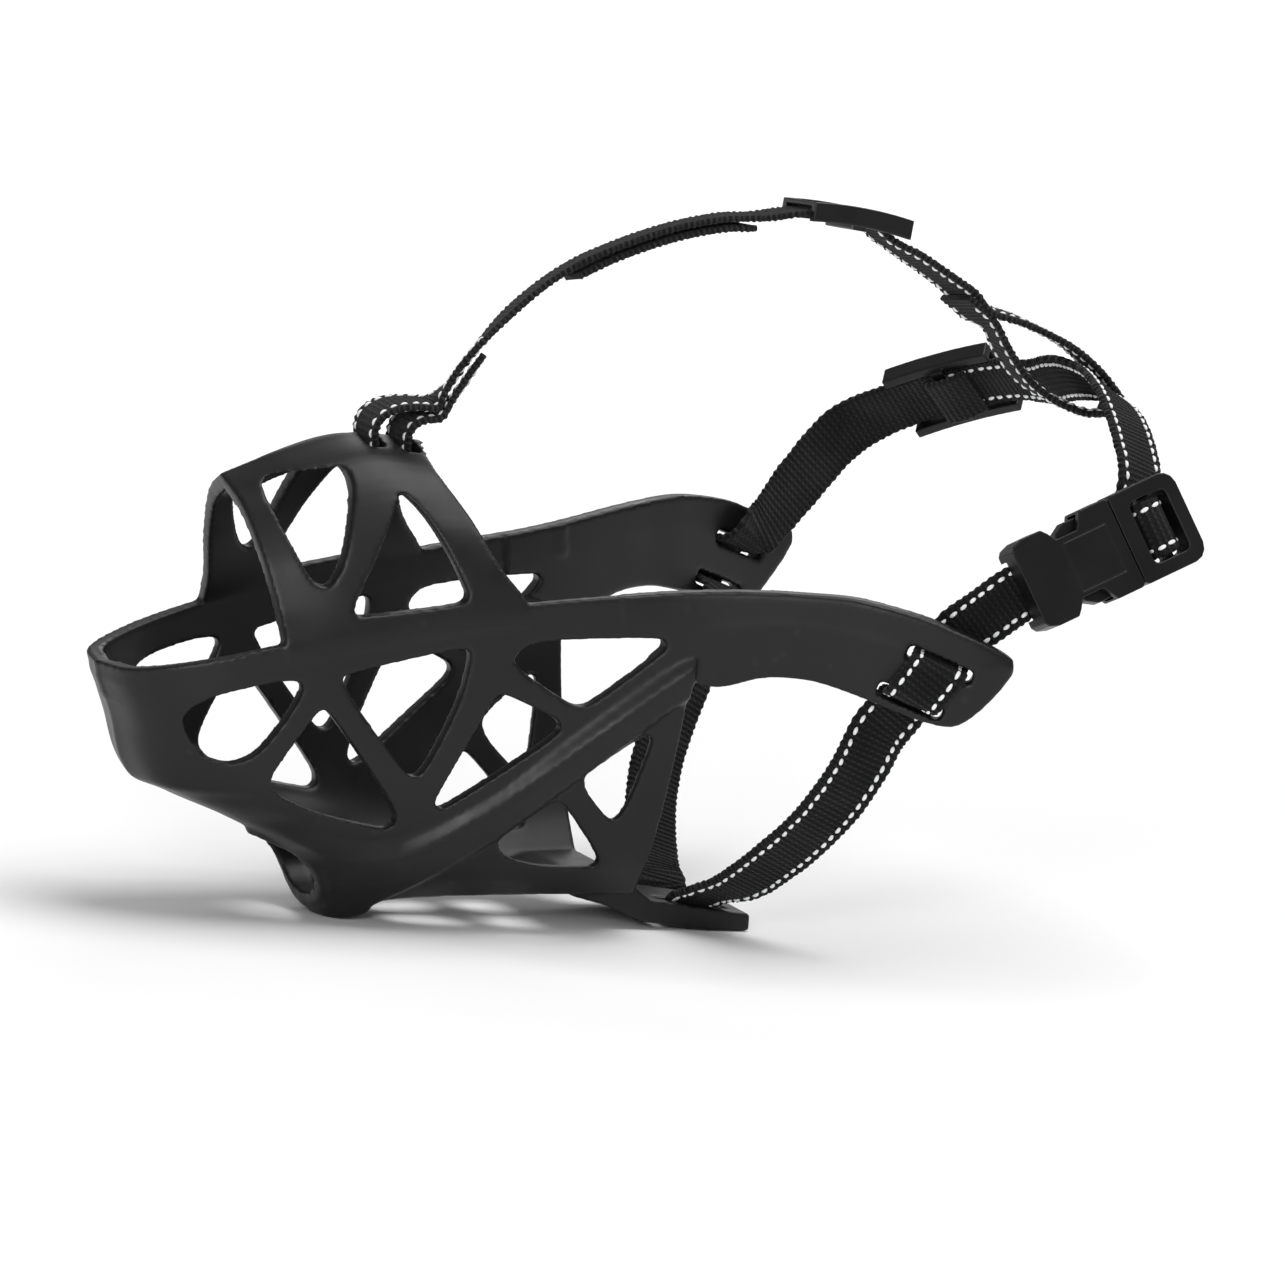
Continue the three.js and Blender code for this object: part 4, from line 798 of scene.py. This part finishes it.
fem = plate("buckle_socket_half", [(0.6,-7.4),(2.4,-8.0),(6.4,-8.0),(7.4,-6.9),(8.4,-5.4),(12.6,-5.4),(13.6,-6.9),(14.4,-8.2),(19.4,-8.2),(20,-7.7),(20,7.7),(19.4,8.2),(14.4,8.2),(13.6,6.9),(12.6,5.4),(8.4,5.4),(7.4,6.9),(6.4,8.0),(2.4,8.0),(0.6,7.4),(0,6.6),(0,-6.6)], -3.2, 3.2)
boolean(fem, [block("c", 2.2, 5.2, -5.6, 5.6, -10, 1.2), block("c", -1, 2.3, -5.4, 5.4, -4, -1.0), block("c", 6.6, 21, -7.75, 7.75, -1.75, 1.75)])
for s in (1, -1):
    n0, n1 = (2.98, 3.4) if s > 0 else (-3.4, -2.98)
    boolean(fem, [block("g", 8.9, 9.2, -4.4, 4.4, n0, n1), block("g", 17.6, 17.9, -4.4, 4.4, n0, n1), block("g", 8.9, 17.9, -4.55, -4.25, n0, n1), block("g", 8.9, 17.9, 4.25, 4.55, n0, n1)])
moulded(fem, BO, BA, BW, BN, 0.15, 5, "muzzle", ("buckle_female",))

mal = plate("buckle_plug_half", [(20.3,-7.7),(21.0,-8.2),(30.6,-8.2),(31.9,-7.8),(32.8,-6.9),(33.2,-5.6),(33.2,5.6),(32.8,6.9),(31.9,7.8),(30.6,8.2),(21.0,8.2),(20.3,7.7)], -2.9, 2.9)
boolean(mal, [plate("c", [(23.4,-4.6),(23.7,-5.4),(24.5,-5.7),(29.6,-5.7),(30.4,-5.4),(30.7,-4.6),(30.7,4.6),(30.4,5.4),(29.6,5.7),(24.5,5.7),(23.7,5.4),(23.4,4.6)], -6, 6)])
boolean(mal, [block("a", 26.0, 28.0, -6.2, 6.2, -1.1, 1.1), block("a", 9.4, 20.8, -1.3, 1.3, -1.4, 1.4)], "UNION")
moulded(mal, BO, BA, BW, BN, 0.15, 6, "plug", ("buckle_male",))
PR = [(20.0,3.4),(20.0,5.6),(15.0,6.3),(14.2,7.4),(11.6,7.45),(9.4,6.2),(8.6,4.9),(9.0,4.3),(11.4,4.9),(14.6,4.4)]
moulded(plate("buckle_prong_up", [(l, -w) for l, w in PR][::-1], -1.4, 1.4), BO, BA, BW, BN, 0.11, 4, "prong_upper", ("buckle_prong_upper",))
moulded(plate("buckle_prong_down", PR, -1.4, 1.4), BO, BA, BW, BN, 0.11, 4, "prong_lower", ("buckle_prong_lower",))


def slide(name, L):
    W = 14.0
    t = np.linspace(-1, 1, 21)
    prof = [(a * L / 2, -1.1 - 0.6 * a * a) for a in t] + [(a * L / 2, 2.2 - 0.6 * a * a) for a in t[::-1]]

    def rail(y0, y1):
        m = len(prof)
        P = [(l, y0, n) for l, n in prof] + [(l, y1, n) for l, n in prof]
        F = [tuple(range(m)), tuple(range(m, 2 * m))] + [(e, (e + 1) % m, (e + 1) % m + m, e + m) for e in range(m)]
        o = mesh_object("rail", P, F, row=False); fix_normals(o); return o

    ob = rail(-W / 2, -W / 2 + 1.7)
    boolean(ob, [rail(W / 2 - 1.7, W / 2), block("a", -L / 2, -L / 2 + 2.4, -6, 6, 0.9, 1.65), block("a", L / 2 - 2.4, L / 2, -6, 6, 0.9, 1.65), block("a", -1.2, 1.2, -6, 6, -1.8, -1.0)], "UNION")
    return ob


moulded(slide("neck_slide_body", 20.0), SO, ST, -SW, -SN, 0.13, 5, "neck_adjuster", ("neck_slide",))
moulded(slide("forehead_slide_body", 18.5), OC, OT, OY, ON, 0.13, 5, "forehead_adjuster", ("forehead_slide",))

# ---------------------------------------------------------------- camera, floor, light
psi, el = math.radians(22.0), math.radians(12.1)
r = np.array([math.cos(psi), -math.sin(psi), 0])
b = np.array([-math.sin(psi) * math.cos(el), -math.cos(psi) * math.cos(el), math.sin(el)])
u = np.cross(b, r)
T = ((642.5 - 243) / 5.9) * r + ((624 - 642.5) / 5.9) * u
T = T + b * (np.array([60.0, 0, 0]) @ b - T @ b)
cam_pos = to_row(T + 9000 * b)[0]
R3 = np.stack([dir_row(r), dir_row(u), dir_row(b)], 1)
cam = bpy.data.cameras.new("camera"); cam_ob = bpy.data.objects.new("camera", cam); bpy.context.scene.collection.objects.link(cam_ob)
M4 = Matrix([list(R3[0]) + [cam_pos[0]], list(R3[1]) + [cam_pos[1]], list(R3[2]) + [cam_pos[2]], [0, 0, 0, 1]])
cam_ob.matrix_world = M4
cam.sensor_fit = "HORIZONTAL"; cam.sensor_width = 36; cam.lens = 36 * 53100 / 1285; cam.clip_end = 60; cam.clip_start = 0.1
bpy.context.scene.camera = cam_ob

bpy.ops.mesh.primitive_plane_add(size=40, location=(0, 0, 0))
floor = bpy.context.object; floor.name = "floor"; floor.data.materials.append(floor_mat())

w = bpy.data.worlds.new("studio"); bpy.context.scene.world = w; w.use_nodes = True
w.node_tree.nodes["Background"].inputs[0].default_value = (1, 1, 1, 1); w.node_tree.nodes["Background"].inputs[1].default_value = 0.30
bpy.context.scene.view_settings.view_transform = "Standard"


def area(name, loc, target, size, power):
    l = bpy.data.lights.new(name, "AREA"); l.shape = "RECTANGLE"; l.size, l.size_y = size; l.energy = power
    o = bpy.data.objects.new(name, l); bpy.context.scene.collection.objects.link(o)
    o.location = loc
    o.rotation_euler = (Vector(target) - Vector(loc)).to_track_quat("-Z", "Y").to_euler()
    return o


sun = bpy.data.lights.new("soft_sun", "SUN"); sun.energy = 2.3; sun.angle = math.radians(50)
sun_ob = bpy.data.objects.new("soft_sun", sun); bpy.context.scene.collection.objects.link(sun_ob)
sun_ob.rotation_euler = Vector((0.30, -0.12, 1.0)).to_track_quat("Z", "Y").to_euler()
area("front", (-0.5, -1.0, 0.7), (0, 0, 0.06), (0.8, 0.6), 0.9)
area("low_left", (-0.58, -0.86, 0.36), (0, 0, 0.05), (0.26, 0.20), 3.2)
area("back", (0.6, 0.9, 0.7), (0, 0, 0.06), (0.7, 0.5), 3)
